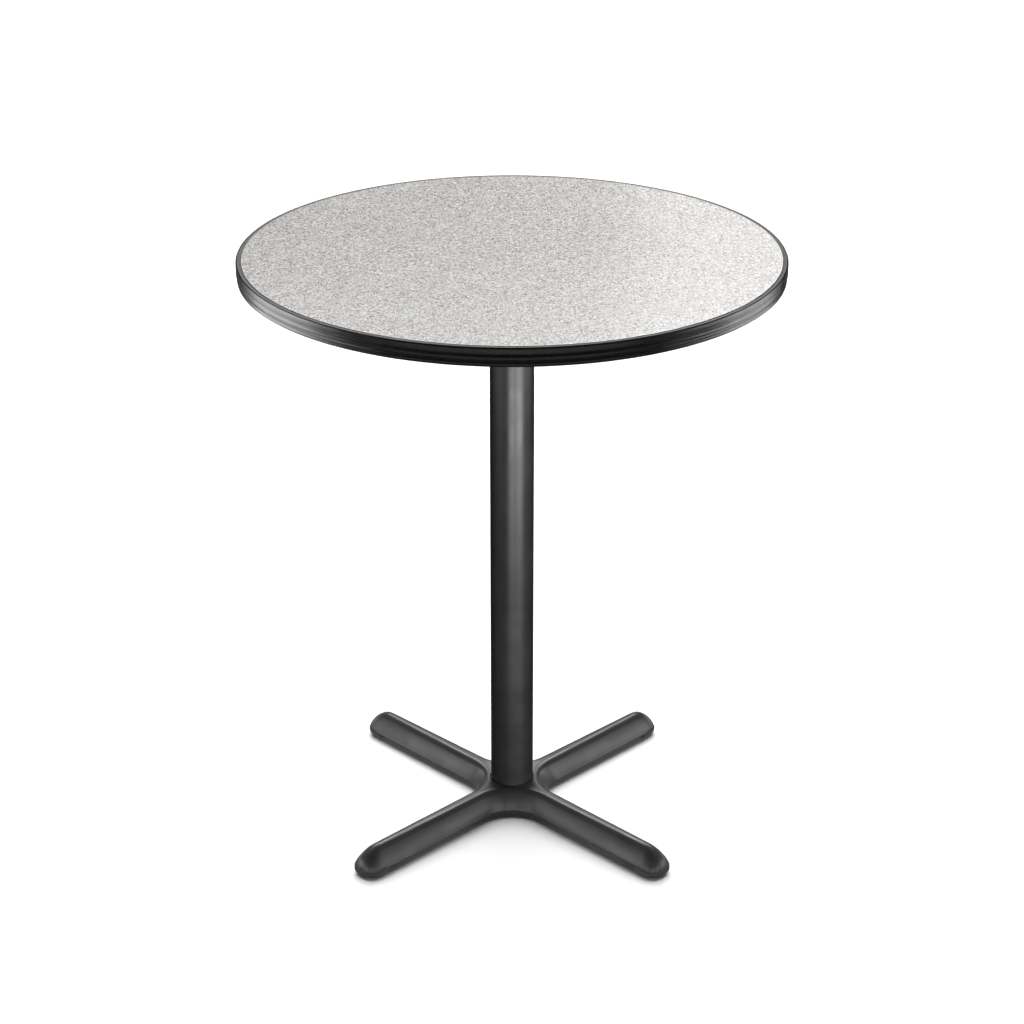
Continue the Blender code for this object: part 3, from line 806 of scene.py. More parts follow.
@dataclass(frozen=True)
class SpeckledLaminate:
    """Satin decorative laminate: a warm grey ground full of fine grains in several tints, with a
    painted highlight along its rim.
    """

    name: str = "speckled_grey_laminate"
    ground: Colour = (0.550, 0.524, 0.504)
    pale: Colour = (0.715, 0.684, 0.660)
    dark: Colour = (0.140, 0.136, 0.136)
    pink: Colour = (0.560, 0.480, 0.466)
    green: Colour = (0.450, 0.490, 0.450)
    white: Colour = (0.980, 0.970, 0.950)
    # Painted highlight: the near-white colour of the sheet's outermost rim, standing in for light
    # caught by its eased edge.
    rim_highlight: Colour = (0.960, 0.955, 0.940)
    edge_radius: float = 0.4469
    edge_fade: float = 0.0002
    roughness: float = 0.26
    grain_depth: float = 0.000005

    def material(self) -> bpy.types.Material:
        """Build the material."""
        sheet = FinishSheet(self.name)
        place = sheet.place
        fine = sheet.effect(Effect.MOTTLE, place, Scale=420.0, Detail=2.0, Contrast=0.12)
        colour = sheet.blend(fine, self.ground, self.pale)
        layers = ((self.pink, 270.0, 0.18, 0.60), (self.green, 290.0, 0.15, 0.60),
                  (self.dark, 390.0, 0.34, 0.64), (self.white, 370.0, 0.34, 0.64))
        for tint, scale, share, size in layers:
            flecks = sheet.effect(Effect.FLECKS, place, Scale=scale, Share=share, Size=size)
            colour = sheet.blend(flecks, colour, tint)
        broad = sheet.effect(Effect.MOTTLE, place, Scale=9.0, Detail=3.0, Contrast=0.30)
        shade = sheet.spread(broad, start=0.99, end=1.01)
        tone = sheet.node("CombineColor", {0: shade, 1: shade, 2: shade})
        colour = sheet.node("Mix", {0: 1.0, 6: colour, 7: tone.outputs[0]}, data_type="RGBA",
                            blend_type="MULTIPLY").outputs[2]
        axes = sheet.axes(place)
        flat = sheet.node("CombineXYZ", {"X": axes["X"], "Y": axes["Y"]})
        radius = sheet.node("VectorMath", {0: flat.outputs[0]}, operation="LENGTH")
        # Painted highlight: the outermost band of the sheet, including its eased edge, is coloured
        # near white as if it caught the light.
        rim = sheet.spread(radius.outputs["Value"], self.edge_radius - self.edge_fade,
                           self.edge_radius)
        colour = sheet.blend(rim, colour, self.rim_highlight)
        rough = sheet.spread(broad, start=self.roughness - 0.01, end=self.roughness + 0.01)
        grain = sheet.effect(Effect.COAT_GRAIN, place, Scale=700.0, Waves=0.2)
        return sheet.finished(colour, rough, grain, self.grain_depth)


@dataclass(frozen=True)
class RibbedVinyl:
    """Black extruded vinyl: satin, with fine ribs along the edge and drawn streaks."""

    name: str = "black_ribbed_vinyl"
    colour: Colour = (0.006, 0.006, 0.006)
    worn: Colour = (0.016, 0.016, 0.016)
    seam_colour: Colour = (0.002, 0.002, 0.002)
    roughness: float = 0.26
    rib_pitch: float = 0.0011
    rib_depth: float = 0.00003
    seam_half_width: float = 0.00025
    streak_draw: float = 0.03

    def material(self) -> bpy.types.Material:
        """Build the material."""
        sheet = FinishSheet(self.name)
        place = sheet.place
        axes = sheet.axes(place)
        angle = sheet.maths("ARCTAN2", axes["Y"], axes["X"])
        along = sheet.times(angle, self.streak_draw)
        drawn = sheet.node("CombineXYZ", {"X": along, "Z": axes["Z"]}).outputs[0]
        streaks = sheet.effect(Effect.MOTTLE, drawn, Scale=420.0, Detail=4.0, Contrast=0.20)
        patches = sheet.effect(Effect.MOTTLE, place, Scale=14.0, Detail=3.0, Contrast=0.25)
        rubbed = sheet.effect(Effect.RUBBED_EDGES, place, Scale=90.0, Reach=0.05)
        worn = sheet.maths("MAXIMUM", sheet.times(streaks, 0.35), sheet.times(rubbed, 0.5))
        near_seam = sheet.spread(sheet.maths("ABSOLUTE", axes["X"]), 0.0, self.seam_half_width,
                                 1.0, 0.0)
        seam = sheet.times(near_seam, sheet.maths("GREATER_THAN", axes["Y"], 0.0))
        colour = sheet.blend(worn, self.colour, self.worn)
        colour = sheet.blend(seam, colour, self.seam_colour)
        rough = sheet.spread(patches, start=self.roughness - 0.03, end=self.roughness + 0.05)
        rough = sheet.maths("ADD", rough, sheet.times(streaks, 0.05))
        wave = sheet.maths("SINE", sheet.times(axes["Z"], math.tau / self.rib_pitch))
        relief = sheet.maths("ADD", sheet.times(wave, 0.5), sheet.times(streaks, 0.4))
        relief = sheet.maths("SUBTRACT", relief, sheet.times(seam, 3.0))
        return sheet.finished(colour, rough, relief, self.rib_depth)


@dataclass(frozen=True)
class BakedCoat:
    """Black baked coat on steel or iron: fine grain, uneven gloss, rubbed edges and dust."""

    name: str
    colour: Colour
    roughness: float
    grain: float
    depth: float
    waves: float
    dust: float
    dust_colour: Colour = (0.23, 0.22, 0.21)
    rubbed_colour: Colour = (0.13, 0.13, 0.13)
    patch_gain: float = 1.25
    speck_gain: float = 1.4

    def material(self) -> bpy.types.Material:
        """Build the material."""
        sheet = FinishSheet(self.name)
        place = sheet.place
        patches = sheet.effect(Effect.MOTTLE, place, Scale=18.0, Detail=4.0, Contrast=0.25)
        specks = sheet.effect(Effect.MOTTLE, place, Scale=self.grain, Detail=2.0, Contrast=0.18)
        shade, lit = (tuple(gain * value for value in self.colour)
                      for gain in (self.patch_gain, self.speck_gain))
        colour = sheet.blend(sheet.times(patches, 0.5), self.colour, shade)
        colour = sheet.blend(sheet.times(specks, 0.35), colour, lit)
        rubbed = sheet.effect(Effect.RUBBED_EDGES, place, Scale=160.0, Reach=0.08)
        colour = sheet.blend(sheet.times(rubbed, 0.35), colour, self.rubbed_colour)
        dust = sheet.effect(Effect.DUST, place, Scale=26.0, Amount=self.dust)
        colour = sheet.blend(dust, colour, self.dust_colour)
        rough = sheet.spread(patches, start=self.roughness - 0.04, end=self.roughness + 0.04)
        rough = sheet.maths("ADD", rough, sheet.times(dust, 0.35))
        grain = sheet.effect(Effect.COAT_GRAIN, place, Scale=self.grain, Waves=self.waves)
        return sheet.finished(colour, rough, grain, self.depth)


@dataclass(frozen=True)
class ZincPlate:
    """Zinc plated steel: a bluish or yellowish metal with turned lines and dull patches."""

    name: str
    colour: Colour
    tint: Colour
    roughness: float = 0.32
    dull_gain: float = 0.72
    line_depth: float = 0.000012

    def material(self) -> bpy.types.Material:
        """Build the material."""
        sheet = FinishSheet(self.name)
        place = sheet.place
        sheet.shader.inputs["Metallic"].default_value = 1.0
        patches = sheet.effect(Effect.MOTTLE, place, Scale=120.0, Detail=4.0, Contrast=0.22)
        stains = sheet.effect(Effect.MOTTLE, place, Scale=420.0, Detail=3.0, Contrast=0.15)
        colour = sheet.blend(patches, self.colour, self.tint)
        dull = tuple(self.dull_gain * value for value in self.colour)
        colour = sheet.blend(sheet.times(stains, 0.4), colour, dull)
        rough = sheet.spread(patches, start=self.roughness - 0.06, end=self.roughness + 0.08)
        lines = sheet.effect(Effect.TURNED_LINES, place, Scale=2600.0)
        return sheet.finished(colour, rough, lines, self.line_depth)


@dataclass(frozen=True)
class ParticleBoard:
    """Pressed wood chips in brown resin, as the sawn core shows them."""

    name: str = "pressed_particle_board"
    resin: Colour = (0.300, 0.200, 0.110)
    chip: Colour = (0.520, 0.390, 0.240)
    bark: Colour = (0.110, 0.065, 0.035)
    pressed: tuple[float, float, float] = (1.0, 1.0, 3.2)
    pore_depth: float = 0.00025

    def material(self) -> bpy.types.Material:
        """Build the material."""
        sheet = FinishSheet(self.name)
        laid = sheet.node("Mapping", {"Vector": sheet.place, "Scale": self.pressed}).outputs[0]
        chips = sheet.node("TexVoronoi", {"Vector": laid, "Scale": 260.0})
        split = sheet.node("SeparateColor", {"Color": chips.outputs["Color"]})
        colour = sheet.blend(split.outputs[0], self.resin, self.chip)
        bark = sheet.effect(Effect.FLECKS, laid, Scale=310.0, Share=0.10, Size=0.5)
        colour = sheet.blend(bark, colour, self.bark)
        rough = sheet.spread(split.outputs[1], start=0.78, end=0.92)
        pores = sheet.maths("SUBTRACT", split.outputs[2], chips.outputs["Distance"])
        return sheet.finished(colour, rough, pores, self.pore_depth)


@dataclass(frozen=True)
class BackerPaper:
    """Brown phenolic balancing sheet: resin-soaked paper with faint fibres and sanding marks."""

    name: str = "phenolic_backer"
    colour: Colour = (0.075, 0.052, 0.038)
    fibre: Colour = (0.125, 0.090, 0.066)
    drawn: tuple[float, float, float] = (0.06, 1.0, 1.0)
    fibre_depth: float = 0.00003

    def material(self) -> bpy.types.Material:
        """Build the material."""
        sheet = FinishSheet(self.name)
        drawn = sheet.node("Mapping", {"Vector": sheet.place, "Scale": self.drawn}).outputs[0]
        fibres = sheet.effect(Effect.MOTTLE, drawn, Scale=900.0, Detail=5.0, Contrast=0.18)
        clouds = sheet.effect(Effect.MOTTLE, sheet.place, Scale=11.0, Detail=4.0, Contrast=0.25)
        mask = sheet.times(fibres, sheet.spread(clouds, start=0.35, end=0.9))
        colour = sheet.blend(mask, self.colour, self.fibre)
        rough = sheet.spread(clouds, start=0.50, end=0.64)
        return sheet.finished(colour, rough, fibres, self.fibre_depth)


@dataclass(frozen=True)
class MouldedNylon:
    """Black moulded nylon: fine spark texture, scuffed pale along its edges."""

    name: str = "black_moulded_nylon"
    colour: Colour = (0.014, 0.014, 0.015)
    scuffed: Colour = (0.110, 0.108, 0.104)
    roughness: float = 0.48
    spark_depth: float = 0.00004

    def material(self) -> bpy.types.Material:
        """Build the material."""
        sheet = FinishSheet(self.name)
        place = sheet.place
        rubbed = sheet.effect(Effect.RUBBED_EDGES, place, Scale=320.0, Reach=0.06)
        colour = sheet.blend(sheet.times(rubbed, 0.6), self.colour, self.scuffed)
        patches = sheet.effect(Effect.MOTTLE, place, Scale=160.0, Detail=3.0, Contrast=0.25)
        rough = sheet.spread(patches, start=self.roughness - 0.05, end=self.roughness + 0.08)
        grain = sheet.effect(Effect.COAT_GRAIN, place, Scale=1900.0, Waves=0.2)
        return sheet.finished(colour, rough, grain, self.spark_depth)


@dataclass(frozen=True)
class StudioFloor:
    """Plain white studio floor with a trace of unevenness, clear when seen from below."""

    name: str = "studio_floor"
    colour: Colour = (0.94, 0.94, 0.94)
    shade: Colour = (0.92, 0.92, 0.92)

    def material(self) -> bpy.types.Material:
        """Build the material."""
        sheet = FinishSheet(self.name)
        clouds = sheet.effect(Effect.MOTTLE, sheet.place, Scale=1.5, Detail=2.0, Contrast=0.3)
        shader = sheet.shader
        sheet.put(shader.inputs["Base Color"], sheet.blend(clouds, self.colour, self.shade))
        shader.inputs["Roughness"].default_value = 0.9
        shader.inputs["Specular IOR Level"].default_value = 0.1
        below = sheet.node("NewGeometry").outputs["Backfacing"]
        clear = sheet.node("BsdfTransparent").outputs[0]
        face = sheet.node("MixShader", {0: below, 1: shader.outputs[0], 2: clear})
        sheet.put(sheet.tree.nodes["Material Output"].inputs["Surface"], face.outputs[0])
        return sheet.material


class Slot(Enum):
    """The material slots of the record."""

    LAMINATE = "laminate"
    BOARD = "board"
    BACKER = "backer"
    VINYL = "vinyl"
    SPIDER_COAT = "spider_coat"
    SCREW_STEEL = "screw_steel"
    COLUMN_COAT = "column_coat"
    ROD_STEEL = "rod_steel"
    NUT_STEEL = "nut_steel"
    BASE_COAT = "base_coat"
    NYLON = "nylon"
    STEM_STEEL = "stem_steel"


FINISHES = {
    Slot.LAMINATE: SpeckledLaminate(),
    Slot.BOARD: ParticleBoard(),
    Slot.BACKER: BackerPaper(),
    Slot.VINYL: RibbedVinyl(),
    Slot.SPIDER_COAT: BakedCoat("black_spider_coat", (0.022, 0.022, 0.022), roughness=0.52,
                                grain=420.0, depth=0.00025, waves=1.2, dust=0.10),
    Slot.SCREW_STEEL: ZincPlate("yellow_zinc_screws", (0.62, 0.55, 0.36), (0.60, 0.52, 0.46)),
    Slot.COLUMN_COAT: BakedCoat("black_column_coat", (0.0075, 0.0075, 0.0075), roughness=0.38,
                                grain=560.0, depth=0.00001, waves=0.4, dust=0.0),
    Slot.ROD_STEEL: ZincPlate("zinc_tie_rod", (0.60, 0.60, 0.60), (0.53, 0.54, 0.57),
                              roughness=0.36),
    Slot.NUT_STEEL: ZincPlate("zinc_nuts", (0.58, 0.58, 0.57), (0.52, 0.54, 0.58)),
    Slot.BASE_COAT: BakedCoat("black_base_coat", (0.024, 0.024, 0.024), roughness=0.33,
                              grain=520.0, depth=0.00002, waves=1.0, dust=0.02),
    Slot.NYLON: MouldedNylon(),
    Slot.STEM_STEEL: ZincPlate("zinc_glide_stems", (0.62, 0.62, 0.62), (0.55, 0.56, 0.60),
                               roughness=0.30),
}


class PaintShop:
    """The table's materials, and the last steps that every new piece goes through."""

    def __init__(self) -> None:
        """Build the material of every slot once."""
        self.materials = {slot: finish.material() for slot, finish in FINISHES.items()}

    def dress(self, obj: bpy.types.Object, slot: Slot, node: str, body: str = "table",
              sharp: float = 35.0) -> None:
        """Settle, shade and paint a finished mesh, and hang it on its body.

        Args:
            obj: The finished mesh.
            slot: Its material slot.
            node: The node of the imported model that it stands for.
            body: The body that it rides on.
            sharp: The angle in degrees past which an edge stays sharp.
        """
        settle(obj)
        bpy.ops.object.shade_smooth_by_angle(angle=math.radians(sharp))
        obj.data.materials.clear()
        obj.data.materials.append(self.materials[slot])
        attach(obj, body)
        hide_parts(node)
        LOG.info("%s: %d faces on %s", obj.name, len(obj.data.polygons), body)


@dataclass
class TableTop:
    """The round top: laminate, core board, backer and the ribbed edge molding."""

    radius: float = 0.4572
    height: float = 1.0500
    laminate_thickness: float = 0.0012
    core_thickness: float = 0.0286
    backer_thickness: float = 0.0008
    molding_depth: float = 0.0090
    molding_drop: float = 0.0009
    shoulder: float = 0.0030
    bead_shares: tuple[float, float, float] = (0.383, 0.336, 0.281)
    bead_crown: float = 0.0013
    lower_bead_inset: float = 0.0010
    lip_corner: float = 0.0004
    spine_thickness: float = 0.0022
    spine_depth: float = 0.0100
    spine_point: float = 0.0004
    point_shares: tuple[float, float] = (0.6, 0.3)
    barb_height: float = 0.0005
    barb_length: float = 0.0030
    laminate_edge: float = 0.0003
    laminate_rings: tuple[float, float] = (0.0040, 0.1500)
    backer_edge: float = 0.0002
    bead_steps: int = 10
    shoulder_steps: int = 6

    @property
    def core_foot(self) -> float:
        """Return the level of the core's underside."""
        return self.height - self.laminate_thickness - SEAT_GAP - self.core_thickness

    @property
    def backer_foot(self) -> float:
        """Return the level of the backer's underside."""
        return self.core_foot - SEAT_GAP - self.backer_thickness

    @property
    def inner_radius(self) -> float:
        """Return the inner radius of the molding's lip."""
        return self.radius - self.molding_depth

    @property
    def sheet_radius(self) -> float:
        """Return the radius of the laminate, the core and the backer."""
        return self.inner_radius - SEAT_GAP

    def build(self, shop: PaintShop, spider: "Spider") -> None:
        """Model and dress the top.

        Args:
            shop: The materials.
            spider: The casting whose screws pass through the backer.
        """
        self.build_laminate(shop)
        self.build_backer(shop, spider)
        molding = turned("vinyl_edge_molding", self.molding_profile(), Sides.TOP)
        shop.dress(molding, Slot.VINYL, "edge_molding", sharp=50.0)
        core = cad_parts["core_board"]
        for place in range(len(core.data.materials)):
            core.data.materials[place] = shop.materials[Slot.BOARD]
        LOG.info("core_board: kept, with a new finish")

    def build_laminate(self, shop: PaintShop) -> None:
        """Model the laminate with its top edge eased all round.

        Args:
            shop: The materials.
        """
        foot = self.height - self.laminate_thickness
        sheet = drum("laminate_disc", self.sheet_radius, foot, self.height, Sides.TOP)
        bevel(sheet, self.laminate_edge, on_rim(self.sheet_radius, self.height))
        with editing(sheet, Element.FACE):
            pick(sheet, Element.FACE, lambda middle, normal: normal.z > FACING_UP)
            for width in self.laminate_rings:
                bpy.ops.mesh.inset(thickness=width)
        shop.dress(sheet, Slot.LAMINATE, "laminate_sheet")

    def build_backer(self, shop: PaintShop, spider: "Spider") -> None:
        """Model the backer with its screw holes.

        Args:
            shop: The materials.
            spider: The casting whose screws pass through.
        """
        top = self.core_foot - SEAT_GAP
        sheet = drum("backer_disc", self.sheet_radius, self.backer_foot, top, Sides.TOP)
        bevel(sheet, self.backer_edge, on_rim(self.sheet_radius, self.backer_foot), segments=2)
        for spot in spider.screw_spots():
            combine(sheet, Join.CUT, drum("screw_hole", spider.screw_radius + SEAT_GAP,
                                          self.backer_foot - CUT_MARGIN, top + CUT_MARGIN,
                                          Sides.SMALL, spot))
        shop.dress(sheet, Slot.BACKER, "backer_sheet")

    def molding_profile(self) -> Profile:
        """Trace the molding's section, from its top lip round to its spine.

        Returns:
            The closed section as (radius, height) points.
        """
        foot = self.backer_foot - self.molding_drop
        upper, middle, lower = ((self.height - foot) * share for share in self.bead_shares)
        groove = self.height - upper
        inner, shoulder = self.inner_radius, self.shoulder
        ease = CORNER_SHARE * self.lip_corner
        return [(inner, self.height - self.lip_corner), (inner + ease, self.height - ease),
                (inner + self.lip_corner, self.height),
                *arc((self.radius - shoulder, self.height - shoulder), (shoulder, shoulder),
                     QUARTER, 0.0, self.shoulder_steps),
                *arc((self.radius - self.bead_crown, groove + shoulder),
                     (self.bead_crown, -shoulder), 0.0, QUARTER, self.shoulder_steps, 1),
                *self.bead(groove, middle, self.radius),
                *self.bead(groove - middle, lower, self.radius - self.lower_bead_inset)[:-2],
                (self.radius - self.lower_bead_inset - shoulder, foot), (inner, foot),
                *self.spine()]

    def bead(self, top: float, height: float, outer: float) -> Profile:
        """Return points down one convex bead of the molding's face.

        Args:
            top: The level of the bead's upper groove.
            height: How tall the bead is.
            outer: The radius of its crown.

        Returns:
            The points after the upper groove, down to the lower one.
        """
        return [(outer - self.bead_crown * (1.0 - math.sin(math.pi * share)),
                 top - height * share) for share in shares(self.bead_steps)]

    def spine(self) -> Profile:
        """Return the barbed spine's points, from its underside round to its upper side."""
        middle = self.core_foot + 0.5 * self.core_thickness
        half = 0.5 * self.spine_thickness
        end = self.inner_radius - self.spine_depth
        side = [(self.inner_radius, half)]
        for start in (end + 2.0 * self.barb_length, end + self.barb_length):
            side.extend([(start, half), (start, half + self.barb_height)])
        blunt, tip = (half * share for share in self.point_shares)
        side.extend([(end + self.spine_point, blunt), (end, tip)])
        below = [(radius, middle - offset) for radius, offset in side]
        above = [(radius, middle + offset) for radius, offset in reversed(side)]
        return below + above


@dataclass
class Column:
    """The column tube and the threaded tie rod inside it, with its nuts and washers."""

    radius: float = 0.0381
    wall: float = 0.0021
    edge: float = 0.0003
    end_ring: float = 0.0040
    rod_radius: float = 0.00635
    rod_root: float = 0.00535
    rod_point: float = 0.0010
    rod_pitch: float = INCH / 13.0
    thread_length: float = 0.0450
    rod_stick_out: float = 0.0020
    nut_wall: float = 0.00315
    nut_height: float = 0.0108
    nut_lead: float = 0.0008
    washer_rim: float = 0.00765
    washer_thickness: float = 0.0025
    washer_ease: float = 0.0004
    pocket_spare: float = 0.0025

    @property
    def washer_radius(self) -> float:
        """Return a washer's outer radius."""
        return self.rod_radius + self.washer_rim

    @property
    def across_flats(self) -> float:
        """Return a nut's size across its flats."""
        return 2.0 * (self.rod_radius + self.nut_wall)

    @property
    def nut_stack(self) -> float:
        """Return the height of a washer and a nut with their gaps."""
        return self.washer_thickness + self.nut_height + 2.0 * SEAT_GAP

    @property
    def pocket_radius(self) -> float:
        """Return the radius of the pocket that a nut stands in."""
        return max(self.washer_radius, self.across_flats / math.sqrt(3.0)) + self.pocket_spare

    @property
    def bore_radius(self) -> float:
        """Return the radius of the holes that the rod passes."""
        return self.rod_radius + RUNNING_GAP

    @property
    def plug_radius(self) -> float:
        """Return the radius of what goes into the tube."""
        return self.radius - self.wall - SEAT_GAP

    def build(self, shop: PaintShop, base: "CrossBase", spider: "Spider") -> None:
        """Model and dress the tube, the rod, the nuts and the washers.

        Args:
            shop: The materials.
            base: The casting under the column, whose web the lower washer bears on.
            spider: The casting on the column, whose web the upper washer bears on.
        """
        self.build_tube(shop, base.seat + SEAT_GAP, spider.seat - SEAT_GAP)
        reach = self.nut_stack + self.rod_stick_out
        self.build_rod(shop, base.web_foot - reach, spider.web_top + reach)
        washer_foot = spider.web_top + SEAT_GAP
        nut_foot = washer_foot + self.washer_thickness + SEAT_GAP
        low_washer_foot = base.web_foot - SEAT_GAP - self.washer_thickness
        low_nut_foot = low_washer_foot - SEAT_GAP - self.nut_height
        washer = self.washer("rod_washer_upper", washer_foot)
        nut = self.nut("rod_nut_upper", nut_foot)
        low_washer = duplicate(washer, "rod_washer_lower", (*AXIS, washer_foot),
                               (*AXIS, low_washer_foot))
        low_nut = duplicate(nut, "rod_nut_lower", (*AXIS, nut_foot), (*AXIS, low_nut_foot))
        for piece, node in ((washer, "rod_washer_top"), (nut, "rod_nut_top"),
                            (low_washer, "rod_washer_bottom"), (low_nut, "rod_nut_bottom")):
            shop.dress(piece, Slot.NUT_STEEL, node)

    def build_tube(self, shop: PaintShop, foot: float, top: float) -> None:
        """Model the tube from an open cylinder that gets a wall and eased ends.

        Args:
            shop: The materials.
            foot: The level of its foot.
            top: The level of its top.
        """
        tube = drum("column_pipe", self.radius, foot, top, Sides.TUBE, hollow=True)
        step = tube.modifiers.new("wall", "SOLIDIFY")
        step.thickness = self.wall
        step.offset = -1.0
        bpy.ops.object.modifier_apply(modifier=step.name)
        ends = (on_level(foot), on_level(top))
        bevel(tube, self.edge, lambda a, b: any(end(a, b) for end in ends), segments=2)
        with editing(tube):
            for level in (foot + self.end_ring, 0.5 * (foot + top), top - self.end_ring):
                bpy.ops.mesh.select_all(action="SELECT")
                bpy.ops.mesh.bisect(plane_co=(0.0, 0.0, level), plane_no=(0.0, 0.0, 1.0))
        shop.dress(tube, Slot.COLUMN_COAT, "column_tube")

    def build_rod(self, shop: PaintShop, foot: float, top: float) -> None:
        """Model the rod: a plain middle and a cut thread at both ends.

        Args:
            shop: The materials.
            foot: The level of its lower end.
            top: The level of its upper end.
        """
        root, outer, point = self.rod_root, self.rod_radius, self.rod_point
        slope = outer - root
        low, high = foot + self.thread_length, top - self.thread_length
        profile = [(0.0, top), (root - point, top), (root, top - point), (root, high + slope),
                   (outer, high), (outer, low), (root, low - slope), (root, foot + point),
                   (root - point, foot), (0.0, foot)]
        rod = turned("threaded_tie_rod", profile, Sides.ROD)
        for start, end in ((foot + point, low), (high, top - point)):
            combine(rod, Join.ADD,
                    screw_thread("rod_thread", root, outer, self.rod_pitch, start, end))
        shop.dress(rod, Slot.ROD_STEEL, "tie_rod")

    def nut(self, name: str, foot: float) -> bpy.types.Object:
        """Model one hexagon nut, chamfered on both faces and at its bore.

        Args:
            name: The nut's name.
            foot: The level of its underside.

        Returns:
            The nut.
        """
        top, lead = foot + self.nut_height, self.nut_lead
        bore = self.rod_radius + SEAT_GAP
        nut = hexagon_block(name, self.across_flats, foot, top)
        profile = [(0.0, top + CUT_MARGIN), (bore + lead, top + CUT_MARGIN), (bore + lead, top),
                   (bore, top - lead), (bore, foot + lead), (bore + lead, foot),
                   (bore + lead, foot - CUT_MARGIN), (0.0, foot - CUT_MARGIN)]
        combine(nut, Join.CUT, turned("nut_bore", profile, Sides.ROD))
        return nut

    def washer(self, name: str, foot: float) -> bpy.types.Object:
        """Model one flat washer with punched, slightly rounded edges.

        Args:
            name: The washer's name.
            foot: The level of its underside.

        Returns:
            The washer.
        """
        ease, top = self.washer_ease, foot + self.washer_thickness
        inner, outer = self.rod_radius + SEAT_GAP, self.washer_radius
        profile = [(inner, foot + ease), (inner + ease, foot), (outer - ease, foot),
                   (outer, foot + ease), (outer, top - ease), (outer - ease, top),
                   (inner + ease, top), (inner, top - ease)]
        return turned(name, profile, Sides.DISC)


